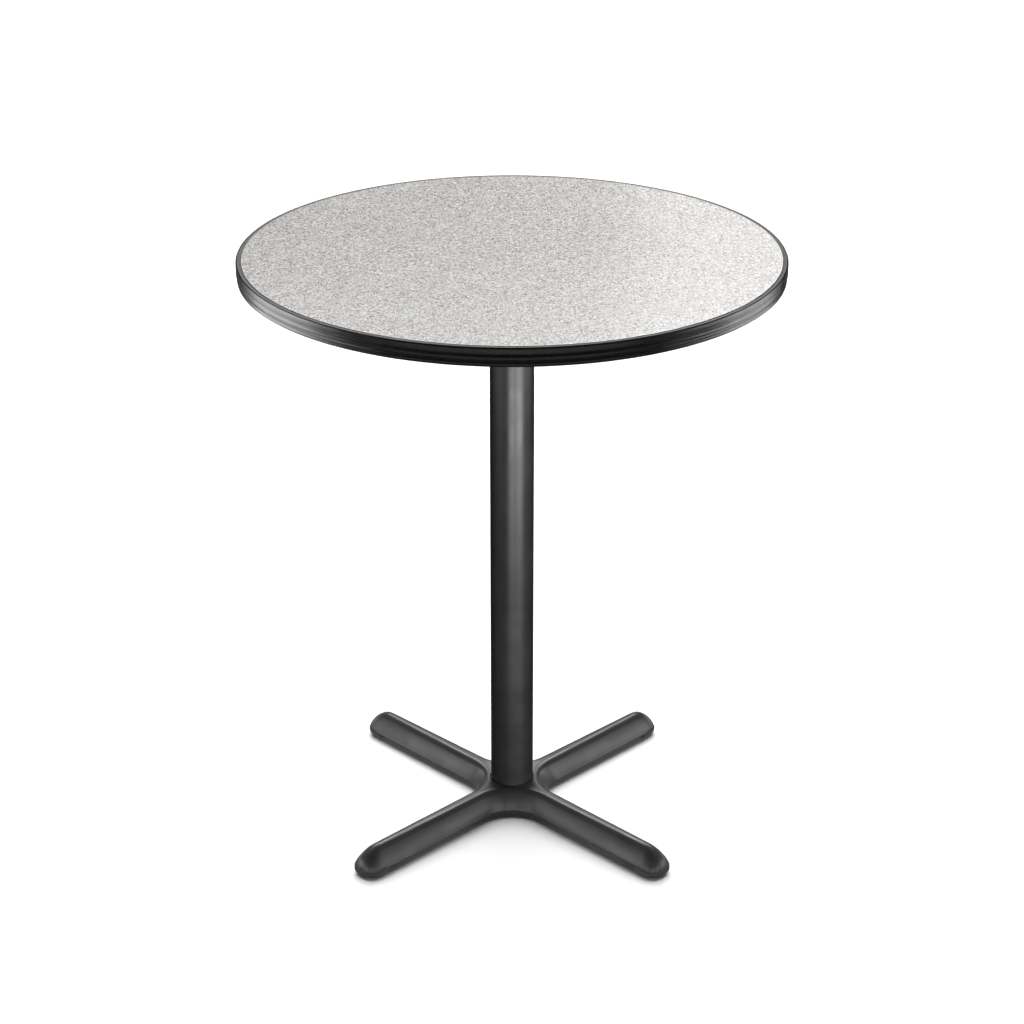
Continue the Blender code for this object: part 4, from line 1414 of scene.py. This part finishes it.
@dataclass
class Spider:
    """The four-arm casting under the top, and the eight wood screws that hold it."""

    top: float
    column: Column
    reach: float = 0.2000
    arm_half_width: float = 0.0150
    fillet: float = 0.0300
    plate: float = 0.0050
    plate_edge: float = 0.0010
    rib_width: float = 0.0060
    rib_drop: float = 0.0160
    rib_end_drop: float = 0.0020
    rib_setback: float = 0.0120
    rib_edge: float = 0.0012
    flange_lap: float = 0.0089
    flange_thickness: float = 0.0100
    flange_rim: float = 0.0012
    web: float = 0.0080
    plug_depth: float = 0.0180
    plug_wall: float = 0.0087
    plug_lead: float = 0.0015
    top_step: float = 0.0005
    end_setback: float = 0.0200
    screw_spacing: float = 0.0850
    screw_radius: float = 0.0022
    screw_root: float = 0.0015
    screw_pitch: float = 0.0021
    screw_length: float = 0.0220
    screw_point: float = 0.0040
    screw_neck: float = 0.0045
    neck_slope: float = 0.0006
    head_radius: float = 0.0046
    head_height: float = 0.0030
    head_rim: float = 0.0012
    recess_size: Point = (0.0044, 0.0010, 0.0028)
    recess_rise: float = 0.0004
    end_bluntness: float = 2.0
    end_steps: int = 20
    fillet_steps: int = 12
    dome_steps: int = 5

    @property
    def arm_foot(self) -> float:
        """Return the level of the arms' underside."""
        return self.top - self.plate

    @property
    def seat(self) -> float:
        """Return the level at which the flange sits on the column."""
        return self.top - self.flange_thickness

    @property
    def web_top(self) -> float:
        """Return the floor of the pocket for the upper nut."""
        return self.top - self.column.nut_stack - self.column.rod_stick_out - SEAT_GAP

    @property
    def flange_radius(self) -> float:
        """Return the radius of the flange on the column."""
        return self.column.radius + self.flange_lap

    def screw_spots(self) -> list[Spot]:
        """Return the places of the screws, the inner and then the outer one of each arm."""
        outer = self.reach - self.end_setback
        offset = 0.5 * (self.arm_half_width + 0.5 * self.rib_width)
        return [corner.spot(distance, side * offset) for corner in Corner
                for side, distance in ((-1.0, outer - self.screw_spacing), (1.0, outer))]

    def build(self, shop: PaintShop) -> None:
        """Model and dress the casting and its screws.

        Args:
            shop: The materials.
        """
        half = self.arm_half_width
        plan = CrossOutline(half + self.fillet, self.end_bluntness, self.end_steps,
                            self.fillet_steps)
        spider = lofted("cast_spider", [plan.ring(half, self.reach, half, level)
                                        for level in (self.top, self.arm_foot)])
        bevel(spider, self.plate_edge, on_level(self.arm_foot))
        for corner in Corner:
            combine(spider, Join.ADD, self.rib(corner))
        combine(spider, Join.ADD, self.hub())
        column, sky = self.column, self.top + CUT_MARGIN
        combine(spider, Join.CUT,
                drum("nut_pocket", column.pocket_radius, self.web_top, sky, Sides.POCKET),
                drum("rod_bore", column.bore_radius, self.seat - self.plug_depth - CUT_MARGIN,
                     sky, Sides.ROD))
        for spot in self.screw_spots():
            combine(spider, Join.CUT, drum("screw_hole", self.screw_radius + RUNNING_GAP,
                                           self.arm_foot - CUT_MARGIN, sky, Sides.SMALL, spot))
        shop.dress(spider, Slot.SPIDER_COAT, "top_spider", sharp=32.0)
        self.build_screws(shop)

    def rib(self, corner: Corner) -> bpy.types.Object:
        """Model the tapered rib under one arm: its side is outlined, filled and extruded.

        Args:
            corner: The arm.

        Returns:
            The rib.
        """
        start, end = self.column.radius, self.reach - self.rib_setback
        root = self.flange_radius - self.top_step
        upper, under = self.top - 0.5 * self.plate, self.seat + SEAT_GAP
        side = [(start, upper), (end, upper), (end, self.arm_foot - self.rib_end_drop),
                (root, self.arm_foot - self.rib_drop), (root, under), (start, under)]
        rib = outline("spider_rib", [(along, -0.5 * self.rib_width, level)
                                     for along, level in side])
        with editing(rib):
            bpy.ops.mesh.select_all(action="SELECT")
            bpy.ops.mesh.edge_face_add()
            bpy.ops.mesh.extrude_region_move(
                TRANSFORM_OT_translate={"value": (0.0, self.rib_width, 0.0)})
            face_outwards()
        lowest = self.arm_foot - 0.5 * self.rib_end_drop
        bevel(rib, self.rib_edge, lambda a, b: abs(a.y - b.y) < 1e-6
              and abs(a.x - b.x) > 0.5 * (end - root) and min(a.z, b.z) < lowest)
        rib.rotation_euler.z = corner.turn
        settle(rib)
        return rib

    def hub(self) -> bpy.types.Object:
        """Turn the flange that sits on the column and the plug that goes into it."""
        foot, web_foot = self.seat - self.plug_depth, self.web_top - self.web
        wide, plug = self.flange_radius, self.column.plug_radius
        core, high = plug - self.plug_wall, self.top - self.top_step
        rim, lead = self.flange_rim, self.plug_lead
        ease = CORNER_SHARE * rim
        profile = [(0.0, high), (wide - rim, high), (wide, high - rim), (wide, self.seat + rim),
                   (wide - ease, self.seat + ease), (wide - rim, self.seat),
                   (plug, self.seat), (plug, foot + lead), (plug - 0.5 * lead, foot),
                   (core, foot), (core, web_foot), (0.0, web_foot)]
        return turned("spider_hub", profile, Sides.HUB)

    def build_screws(self, shop: PaintShop) -> None:
        """Model one round-head wood screw with a cross recess and a thread, and copy it.

        Args:
            shop: The materials.
        """
        seat = self.arm_foot - SEAT_GAP
        tip, neck = seat + self.screw_length, seat + self.screw_neck
        rim, crown = seat - self.head_rim, seat - self.head_height
        dome = arc((0.0, rim), (self.head_radius, crown - rim), 0.0, QUARTER, self.dome_steps)
        profile = [(0.0, tip), (self.screw_root, tip - self.screw_point),
                   (self.screw_root, neck + self.neck_slope), (self.screw_radius, neck),
                   (self.screw_radius, seat), (self.head_radius, seat), *dome[:-1],
                   (0.0, crown)]
        spots = self.screw_spots()
        first = spots[0]
        screw = turned("wood_screw", profile, Sides.ROD, first)
        combine(screw, Join.ADD,
                screw_thread("screw_ridge", self.screw_root, self.screw_radius,
                             self.screw_pitch, neck, tip - self.screw_point, Sides.SMALL, first))
        middle = (*first, crown + self.recess_rise)
        for turn in (0.0, QUARTER):
            combine(screw, Join.CUT, box("recess", middle, self.recess_size, turn))
        names = [f"{corner.label}_{place}" for corner in Corner for place in ("inner", "outer")]
        for name, spot in zip(names, spots):
            piece = duplicate(screw, f"wood_screw_{name}", (*first, 0.0), (*spot, 0.0))
            shop.dress(piece, Slot.SCREW_STEEL, f"spider_screw_{name}")
        bpy.data.objects.remove(screw, do_unlink=True)


@dataclass
class LevellingGlide:
    """One screwed glide, modelled at the first corner and copied to the others."""

    distance: float
    pad_radius: float = 0.0190
    pad_thickness: float = 0.0040
    pad_edge: float = 0.0008
    neck_wall: float = 0.0051
    neck_height: float = 0.0052
    neck_fillet: float = 0.0010
    neck_ease: float = 0.0005
    stem_radius: float = 0.00397
    stem_root: float = 0.00325
    stem_pitch: float = INCH / 18.0
    stem_length: float = 0.0310
    stem_foot: float = 0.0030
    stem_point: float = 0.0008
    hex_flange: float = 0.0025
    hex_height: float = 0.0055
    pocket_spare: float = 0.0030
    pocket_lead: float = 0.0006
    tapped_spare: float = 0.0010
    pad_steps: int = 4

    @property
    def first(self) -> Spot:
        """Return where the glide that is copied stands."""
        return Corner.BACK_RIGHT.spot(self.distance)

    @property
    def hex_foot(self) -> float:
        """Return the level of the hexagon's underside."""
        return self.pad_thickness + self.neck_height + SEAT_GAP

    @property
    def hex_top(self) -> float:
        """Return the level of the hexagon's upper face."""
        return self.hex_foot + self.hex_height

    @property
    def across_flats(self) -> float:
        """Return the hexagon's size across its flats."""
        return 2.0 * (self.stem_radius + self.hex_flange)

    @property
    def hole_radius(self) -> float:
        """Return the radius of the hole in the toe."""
        return self.stem_radius + RUNNING_GAP

    @property
    def neck_radius(self) -> float:
        """Return the outer radius of the pad's neck."""
        return self.hole_radius + self.neck_wall

    @property
    def pocket_radius(self) -> float:
        """Return the radius of the toe's pocket."""
        return max(self.neck_radius, self.across_flats / math.sqrt(3.0)) + self.pocket_spare

    def build(self, shop: PaintShop) -> None:
        """Model and dress all four glides.

        Args:
            shop: The materials.
        """
        pad, stem = self.pad(), self.stem()
        for corner in Corner:
            for piece, kind, slot in ((pad, "pad", Slot.NYLON), (stem, "stem", Slot.STEM_STEEL)):
                copy = duplicate(piece, f"levelling_{kind}_{corner.label}", (*self.first, 0.0),
                                 (*corner.spot(self.distance), 0.0))
                shop.dress(copy, slot, f"glide_{kind}_{corner.label}", f"{kind}_{corner.label}",
                           40.0)
        for piece in (pad, stem):
            bpy.data.objects.remove(piece, do_unlink=True)

    def pad(self) -> bpy.types.Object:
        """Turn the nylon pad with rounded rims and a socket for the stem."""
        floor, top = self.stem_foot - SEAT_GAP, self.pad_thickness
        socket, neck = self.hole_radius, self.neck_radius
        high, edge = top + self.neck_height, self.pad_edge
        fillet, ease = self.neck_fillet, self.neck_ease
        rim, round_edge = self.pad_radius - edge, (edge, edge)
        profile = [(0.0, 0.0),
                   *arc((rim, edge), round_edge, -QUARTER, 0.0, self.pad_steps),
                   *arc((rim, top - edge), round_edge, 0.0, QUARTER, self.pad_steps),
                   (neck + fillet, top),
                   (neck + CORNER_SHARE * fillet, top + CORNER_SHARE * fillet),
                   (neck, top + fillet), (neck, high - ease),
                   (neck - CORNER_SHARE * ease, high - CORNER_SHARE * ease),
                   (neck - ease, high), (socket + ease, high), (socket, high - ease),
                   (socket, floor), (0.0, floor)]
        return turned("pad_blank", profile, Sides.DISC, self.first)

    def stem(self) -> bpy.types.Object:
        """Model the steel stem: a round foot, a chamfered hexagon and a threaded shank."""
        foot, top = self.stem_foot, self.stem_foot + self.stem_length
        root, outer, point = self.stem_root, self.stem_radius, self.stem_point
        profile = [(0.0, top), (root - point, top), (root, top - point),
                   (root, self.hex_top - point), (outer, self.hex_top - point),
                   (outer, foot + point), (outer - point, foot), (0.0, foot)]
        stem = turned("stem_blank", profile, Sides.ROD, self.first)
        combine(stem, Join.ADD,
                hexagon_block("stem_hexagon", self.across_flats, self.hex_foot, self.hex_top,
                              self.first),
                screw_thread("stem_ridge", root, outer, self.stem_pitch, self.hex_top + point,
                             top - point, centre=self.first))
        return stem

    def drill(self, rim: float, spot: Spot) -> bpy.types.Object:
        """Turn the cutter for a toe's tapped hole and the pocket round the hexagon.

        Args:
            rim: The level of the toe's rim.
            spot: Where the glide stands.

        Returns:
            The cutter.
        """
        hole, pocket, lead = self.hole_radius, self.pocket_radius, self.pocket_lead
        hole_top = self.stem_foot + self.stem_length + self.tapped_spare
        pocket_top = self.hex_top + SEAT_GAP
        profile = [(0.0, hole_top), (hole, hole_top), (hole, pocket_top + lead),
                   (hole + lead, pocket_top), (pocket, pocket_top), (pocket, rim + lead),
                   (pocket + lead, rim), (pocket + lead, -CUT_MARGIN), (0.0, -CUT_MARGIN)]
        return turned("glide_drill", profile, Sides.POCKET, spot)


@dataclass
class CrossBase:
    """The hollow cast base: four arms, a hub with the column's socket, and four toes."""

    column: Column
    arm_tip: float = 0.3750
    height: float = 0.0497
    crown_half_width: float = 0.0055
    land_half_width: float = 0.0030
    dome_half_width: float = 0.0080
    dome_turn: float = math.radians(20.0)
    crown_radius: float = 0.0060
    crown_turn: float = math.radians(35.0)
    shoulder_radius: float = 0.0220
    side_crown: float = math.radians(6.0)
    side_draft: float = math.radians(27.0)
    skirt: float = 0.0155
    arm_taper: float = 0.0120
    hub_land: float = 0.0049
    nose_run: float = 0.0450
    nose_power: float = 1.80
    nose_bluntness: float = 2.55
    nose_length: float = 0.0325
    nose_height: float = 0.0080
    crown_nose_share: float = 0.20
    rim_height: float = 0.0045
    rim_draw: float = 0.0027
    rim_setback: float = 0.0056
    rim_edge: float = 0.0007
    toe_length: float = 0.0430
    cast_wall: float = 0.0060
    channel_bluntness: float = 3.0
    relief_round: float = 0.0040
    socket_depth: float = 0.0050
    socket_gap: float = 0.0012
    socket_edge: float = 0.0008
    spigot_rise: float = 0.0123
    spigot_wall: float = 0.0097
    spigot_edge: float = 0.0015
    web: float = 0.0127
    boss_wall: float = 0.0067
    boss_skirt: float = 0.0120
    boss_lap: float = 0.0020
    boss_edge: float = 0.0010
    glide_setback: float = 0.0250
    dome_steps: int = 5
    crown_steps: int = 3
    shoulder_steps: int = 8
    side_steps: int = 8
    toe_steps: int = 7
    nose_steps: int = 28
    fillet_steps: int = 14
    roof_steps: int = 5
    channel_steps: int = 16
    relief_steps: int = 6

    @property
    def seat(self) -> float:
        """Return the level that the column stands on."""
        return self.height - self.socket_depth

    @property
    def web_foot(self) -> float:
        """Return the underside of the hub's web."""
        return self.seat - self.web

    @property
    def socket_radius(self) -> float:
        """Return the radius of the socket round the column's foot."""
        return self.column.radius + self.socket_gap

    @property
    def sweep(self) -> float:
        """Return how far out the corner arcs between the arms are centred."""
        reach = self.column.radius + self.hub_land - self.crown_half_width
        return reach / (math.sqrt(2.0) - 1.0)

    @property
    def toe_start(self) -> float:
        """Return how far out the toes begin."""
        return self.arm_tip - self.toe_length

    @property
    def glide_distance(self) -> float:
        """Return how far out the glides stand."""
        return self.arm_tip - self.glide_setback

    @property
    def plan(self) -> CrossOutline:
        """Return the outside's plan."""
        return CrossOutline(self.sweep, self.nose_bluntness, self.nose_steps, self.fillet_steps)

    def build(self, shop: PaintShop, glide: LevellingGlide) -> None:
        """Model and dress the casting.

        Args:
            shop: The materials.
            glide: The glide that the toes are bored for.
        """
        rings = [self.ring(half_width, level) for half_width, level in self.section()]
        rings.extend(self.toe_ring(share) for share in shares(self.toe_steps))
        base = lofted("cast_cross_base", rings)
        bevel(base, self.rim_edge, on_level(self.rim_height))
        combine(base, Join.CUT, self.channel())
        combine(base, Join.ADD, self.boss())
        combine(base, Join.CUT, self.relief())
        self.bore_hub(base)
        for corner in Corner:
            spot = corner.spot(self.glide_distance)
            combine(base, Join.CUT, glide.drill(self.rim_height, spot))
        bevel(base, self.socket_edge, on_rim(self.socket_radius, self.height))
        shop.dress(base, Slot.BASE_COAT, "x_base", sharp=32.0)

    def section(self) -> Profile:
        """Return the arm's section as (half width, height), from its crown to its skirt."""
        points = [(self.land_half_width, self.height)]
        dome = (self.dome_half_width - self.land_half_width) / math.sin(self.dome_turn)
        slant = QUARTER - self.side_draft
        start = 0.0
        for radius, end, steps in ((dome, self.dome_turn, self.dome_steps),
                                   (self.crown_radius, self.crown_turn, self.crown_steps),
                                   (self.shoulder_radius, slant - self.side_crown,
                                    self.shoulder_steps)):
            points.extend(self.bend(points[-1], radius, start, end, steps))
            start = end
        last = slant + self.side_crown
        radius = (points[-1][1] - self.skirt) / (math.cos(start) - math.cos(last))
        return points + self.bend(points[-1], radius, start, last, self.side_steps)

    def bend(self, place: Spot, radius: float, start: float, end: float, steps: int) -> Profile:
        """Return points that go on from a place of the section on an arc.

        Args:
            place: The half width and the level that it starts from.
            radius: The arc's radius.
            start: How far the surface slopes at its start, in radians from level.
            end: How far it slopes at its end.
            steps: How many points there are.

        Returns:
            The points after the start.
        """
        angles = [start + (end - start) * share for share in shares(steps)]
        return [(place[0] + radius * (math.sin(angle) - math.sin(start)),
                 place[1] - radius * (math.cos(start) - math.cos(angle))) for angle in angles]

    def side_half_width(self, level: float) -> float:
        """Return the half width of the arm's slanted side at a level."""
        half_width, low = self.section()[-1]
        return half_width + (low - level) * math.tan(self.side_draft)

    def nose_tip(self, level: float) -> float:
        """Return how far out an arm reaches at a level.

        Args:
            level: The level.

        Returns:
            The distance from the table's axis.
        """
        if level < self.nose_height:
            drop = (self.nose_height - level) / (self.nose_height - self.rim_height)
            return self.arm_tip - self.rim_setback * drop ** 2
        rise = (level - self.nose_height) / (self.height - self.nose_height)
        bulge = max(1.0 - rise ** self.nose_power, 0.0) ** (1.0 / self.nose_power)
        return self.arm_tip - self.nose_run * (1.0 - bulge)

    def ring(self, half_width: float, level: float) -> Ring:
        """Trace the base's outside at one level above the skirt.

        Args:
            half_width: Half the arm's width there.
            level: The level.

        Returns:
            The outline.
        """
        rise = (level - self.skirt) / (self.height - self.skirt)
        share = half_width / self.side_half_width(self.skirt)
        nose = self.nose_length * (self.crown_nose_share + (1.0 - self.crown_nose_share) * share)
        return self.plan.ring(half_width, self.nose_tip(level), nose, level,
                              self.arm_taper * rise)

    def toe_ring(self, share: float) -> Ring:
        """Trace a toe's outside a share of the way down from the skirt to the rim.

        Args:
            share: How far down, from 0 to 1.

        Returns:
            The outline.
        """
        level = self.skirt - share * (self.skirt - self.rim_height)
        half_width = self.side_half_width(self.skirt) - self.rim_draw * share ** 2
        return self.plan.ring(half_width, self.nose_tip(level), self.nose_length, level)

    def channel(self) -> bpy.types.Object:
        """Model the cutter for the hollow under the arms, with a rounded roof."""
        wall = self.cast_wall
        waist = self.height - wall - wall
        slant = wall / math.cos(self.side_draft)
        narrow, wide = (self.side_half_width(level) - slant for level in (waist, self.skirt))
        sides = [*arc((narrow - 0.5 * wall, waist), (0.5 * wall, wall), QUARTER, 0.0,
                      self.roof_steps), (wide, self.skirt), (wide, -CUT_MARGIN)]
        plan = CrossOutline(self.sweep, self.channel_bluntness, self.channel_steps,
                            self.fillet_steps)
        end = self.toe_start - 2.0 * wall
        return lofted("channel_cutter", [plan.ring(half, end, half, level)
                                         for half, level in sides])

    def boss(self) -> bpy.types.Object:
        """Model the boss under the hub."""
        foot = self.web_foot - self.boss_skirt
        boss = drum("hub_boss", self.socket_radius + self.boss_wall, foot,
                    self.seat + self.boss_lap, Sides.HUB)
        bevel(boss, self.boss_edge, on_level(foot))
        return boss

    def relief(self) -> bpy.types.Object:
        """Model the block that lifts the arms off the floor, with a rounded inner corner."""
        depth, width = self.skirt + CUT_MARGIN, 2.0 * self.toe_start
        block = box("relief_cutter", (*AXIS, self.skirt - 0.5 * depth), (width, width, depth),
                    Corner.BACK_RIGHT.turn)
        bevel(block, self.relief_round, on_level(self.skirt), self.relief_steps)
        return block

    def bore_hub(self, base: bpy.types.Object) -> None:
        """Cut the column's socket, add its spigot, and bore both for the rod and its nut.

        Args:
            base: The casting.
        """
        column, plug = self.column, self.column.plug_radius
        spigot_top = self.height + self.spigot_rise
        sky = spigot_top + CUT_MARGIN
        combine(base, Join.CUT, drum("socket", self.socket_radius, self.seat, sky, Sides.TUBE))
        spigot = drum("spigot", plug, self.seat - self.boss_lap, spigot_top, Sides.HUB)
        bevel(spigot, self.spigot_edge, on_level(spigot_top))
        combine(base, Join.ADD, spigot)
        for name, radius, foot, top, sides in (
                ("spigot_core", plug - self.spigot_wall, self.seat, sky, Sides.DISC),
                ("nut_pocket", column.pocket_radius, -CUT_MARGIN, self.web_foot, Sides.POCKET),
                ("rod_bore", column.bore_radius, -CUT_MARGIN, sky, Sides.ROD)):
            combine(base, Join.CUT, drum(name, radius, foot, top, sides))


def collect(name: str, pieces: Sequence[str]) -> bpy.types.Collection:
    """Collect pieces for a light's linking.

    Args:
        name: The collection's name.
        pieces: The names of the pieces that go in it.

    Returns:
        The collection.
    """
    made = bpy.data.collections.new(name)
    for piece in pieces:
        made.objects.link(bpy.data.objects[piece])
    return made


@dataclass(frozen=True)
class SoftPanel:
    """One rectangular soft light, placed by its bearing from the camera's side.

    It faces the aimed height on the table's axis, and lights only the pieces named, if any are.
    """

    name: str
    bearing: float
    distance: float
    height: float
    size: tuple[float, float]
    aim: float
    brightness: float
    only: tuple[str, ...] = ()

    def hang(self) -> None:
        """Hang the panel."""
        turn = math.radians(self.bearing)
        place = Vector((self.distance * math.sin(turn), -self.distance * math.cos(turn),
                        self.height))
        bpy.ops.object.light_add(type="AREA", location=place)
        lamp = bpy.context.active_object
        lamp.name = self.name
        lamp.data.shape = "RECTANGLE"
        lamp.data.size, lamp.data.size_y = self.size
        lamp.data.energy = self.brightness * math.pi * self.size[0] * self.size[1]
        facing = Vector((*AXIS, self.aim)) - place
        lamp.rotation_euler = facing.to_track_quat("-Z", "Y").to_euler()
        lamp.visible_camera = False
        if self.only:
            lamp.light_linking.receiver_collection = collect(f"{self.name}_lights", self.only)


TUBE = ("column_pipe",)
EDGE = ("vinyl_edge_molding",)
CASTING = ("cast_cross_base",)
SHEET = ("laminate_disc",)
PADS = tuple(f"levelling_pad_{corner.label}" for corner in Corner)
SOFT_PANELS = (
    SoftPanel("left_fill", -84.0, 3.0, 0.65, (1.6, 0.8), 0.2, 4.2),
    SoftPanel("right_fill", 84.0, 3.0, 0.65, (1.6, 0.8), 0.2, 4.2),
    SoftPanel("high_back_panel", 180.0, 3.0, 3.0, (3.0, 1.5), 0.3, 3.2),
    SoftPanel("right_back_window", 160.0, 5.0, 2.6, (2.6, 2.4), 1.0, 1.2, SHEET),
    SoftPanel("top_wash", 155.0, 1.9, 3.2, (1.6, 1.6), 1.0, 6.3, SHEET),
    SoftPanel("sheet_front", 0.0, 4.0, 2.2, (4.2, 1.8), 1.0, 0.5, SHEET),
    SoftPanel("sheet_front_left", -66.0, 4.0, 2.2, (4.2, 1.8), 1.0, 0.4, SHEET),
    SoftPanel("sheet_front_right", 66.0, 4.0, 2.2, (4.2, 1.8), 1.0, 0.5, SHEET),
    SoftPanel("left_edge_strip", -101.0, 3.2, 1.2, (2.2, 2.4), 1.0, 5.8, EDGE),
    SoftPanel("right_edge_strip", 106.0, 3.2, 1.2, (1.8, 2.4), 1.0, 3.8, EDGE),
    SoftPanel("left_edge_floor", -101.0, 1.5, 0.05, (1.3, 1.3), 1.0, 2.4, EDGE),
    SoftPanel("right_edge_floor", 106.0, 1.5, 0.05, (1.1, 1.3), 1.0, 1.9, EDGE),
    SoftPanel("edge_front_fill", 0.0, 2.6, 0.2, (6.0, 0.6), 1.0, 1.1, EDGE),
    SoftPanel("ridge_strip", 180.0, 3.0, 3.2, (2.2, 0.9), 0.1, 6.5, CASTING),
    SoftPanel("left_ridge_panel", -150.0, 3.0, 3.5, (1.6, 1.1), 0.1, 3.5, CASTING),
    SoftPanel("right_ridge_panel", 150.0, 3.0, 3.5, (1.6, 1.1), 0.1, 3.5, CASTING),
    SoftPanel("low_back_fill", 180.0, 3.0, 0.5, (4.0, 1.2), 0.1, 0.5, CASTING),
    SoftPanel("floor_glow", 0.0, 0.0, 0.001, (1.4, 1.4), 1.0, 0.3, CASTING + PADS),
    SoftPanel("low_front_fill", 0.0, 3.0, 0.75, (2.0, 0.6), 0.0, 3.8, CASTING),
    SoftPanel("low_left_fill", -43.0, 3.0, 0.75, (2.0, 0.7), 0.0, 3.4, CASTING),
    SoftPanel("low_right_fill", 43.0, 3.0, 0.75, (2.0, 0.7), 0.0, 3.4, CASTING),
    SoftPanel("left_corner_fill", -122.0, 3.0, 0.4, (1.8, 0.8), 0.0, 2.0, CASTING),
    SoftPanel("right_corner_fill", 122.0, 3.0, 0.4, (1.8, 0.8), 0.0, 2.0, CASTING),
    SoftPanel("tube_right", 38.0, 2.2, 0.16, (1.3, 0.4), 0.6, 31.0, TUBE),
    SoftPanel("tube_front", 0.0, 2.2, 0.16, (1.1, 0.4), 0.6, 27.0, TUBE),
    SoftPanel("tube_back", 180.0, 2.2, 0.16, (1.1, 0.4), 0.6, 16.0, TUBE),
    SoftPanel("tube_left_side", -56.0, 2.4, 0.30, (1.6, 0.5), 0.6, 3.0, TUBE),
    SoftPanel("tube_right_side", 86.0, 2.6, 0.40, (2.4, 0.6), 0.6, 3.6, TUBE),
)


@dataclass
class Studio:
    """The pale floor, the soft lights and the camera at the photograph's angle."""

    floor_size: float = 60.0
    floor_cuts: int = 4
    lens: float = 84.86
    sensor: float = 36.0
    camera_place: Point = (0.0, -3.8336, 2.2971)
    camera_pitch: float = 65.84
    sky_strength: float = 0.50
    sky_foot: float = 20.0
    sky_full: float = 40.0
    sky_front: float = -0.3
    sky_back: float = 0.4
    wash_strength: float = 4.3
    wash_spread: float = 70.0
    wash_lean: float = -30.0
    wash_height: float = 5.0

    def build(self) -> None:
        """Lay the floor, hang the lights and set the camera."""
        self.wash(self.lay_floor())
        self.set_sky()
        for panel in SOFT_PANELS:
            panel.hang()
        self.set_camera()

    def lay_floor(self) -> bpy.types.Object:
        """Lay a wide plane with the floor finish, which doesn't mirror in the coats."""
        bpy.ops.mesh.primitive_plane_add(size=self.floor_size, location=(0.0, 0.0, 0.0))
        floor = named("studio_floor_plane")
        with editing(floor):
            bpy.ops.mesh.select_all(action="SELECT")
            bpy.ops.mesh.subdivide(number_cuts=self.floor_cuts)
        floor.data.materials.append(StudioFloor().material())
        floor.visible_glossy = False
        return floor

    def wash(self, floor: bpy.types.Object) -> None:
        """Keep the floor white with a very soft overhead light that falls on it alone.

        Args:
            floor: The floor. Only what stands on it casts a shadow in this light.
        """
        bpy.ops.object.light_add(type="SUN", location=(*AXIS, self.wash_height),
                                 rotation=(math.radians(self.wash_lean), 0.0, 0.0))
        lamp = bpy.context.active_object
        lamp.name = "floor_wash"
        lamp.data.energy = self.wash_strength
        lamp.data.angle = math.radians(self.wash_spread)
        linking = lamp.light_linking
        linking.receiver_collection = collect("floor_wash_lights", [floor.name])
        linking.blocker_collection = collect("floor_wash_shadows", TUBE + CASTING + PADS)

    def set_sky(self) -> None:
        """Light the scene from a pale ceiling behind the table, and show the camera plain white."""
        world = bpy.data.worlds.new("studio_ceiling")
        world.use_nodes = True
        sheet = Sheet(world.node_tree)
        axes = sheet.axes(sheet.node("TexCoord").outputs["Generated"])
        low, full = (math.sin(math.radians(angle)) for angle in (self.sky_foot, self.sky_full))
        glow = sheet.spread(axes["Z"], low, full, end=self.sky_strength)
        glow = sheet.times(glow, sheet.spread(axes["Y"], self.sky_front, self.sky_back))
        seen = sheet.node("LightPath").outputs["Is Camera Ray"]
        background = world.node_tree.nodes["Background"]
        background.inputs["Color"].default_value = (1.0, 1.0, 1.0, 1.0)
        sheet.put(background.inputs["Strength"], sheet.maths("MAXIMUM", glow, seen))
        bpy.context.scene.world = world

    def set_camera(self) -> None:
        """Stand the camera where the photograph was taken from."""
        bpy.ops.object.camera_add(location=self.camera_place,
                                  rotation=(math.radians(self.camera_pitch), 0.0, 0.0))
        camera = bpy.context.active_object
        camera.name = "photo_camera"
        camera.data.lens = self.lens
        camera.data.sensor_width = self.sensor
        camera.data.sensor_fit = "HORIZONTAL"
        camera.data.dof.use_dof = False
        scene = bpy.context.scene
        scene.camera = camera
        scene.view_settings.view_transform = "Standard"
        scene.view_settings.look = "None"


def main() -> None:
    """Build every sub-assembly in order, then the studio."""
    logging.basicConfig(level=logging.INFO, format="%(name)s: %(message)s")
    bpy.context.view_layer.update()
    shop = PaintShop()
    top = TableTop()
    column = Column()
    base = CrossBase(column)
    spider = Spider(top.backer_foot - SEAT_GAP, column)
    glide = LevellingGlide(base.glide_distance)
    top.build(shop, spider)
    spider.build(shop)
    column.build(shop, base, spider)
    base.build(shop, glide)
    glide.build(shop)
    Studio().build()


if __name__ == "__main__":
    main()
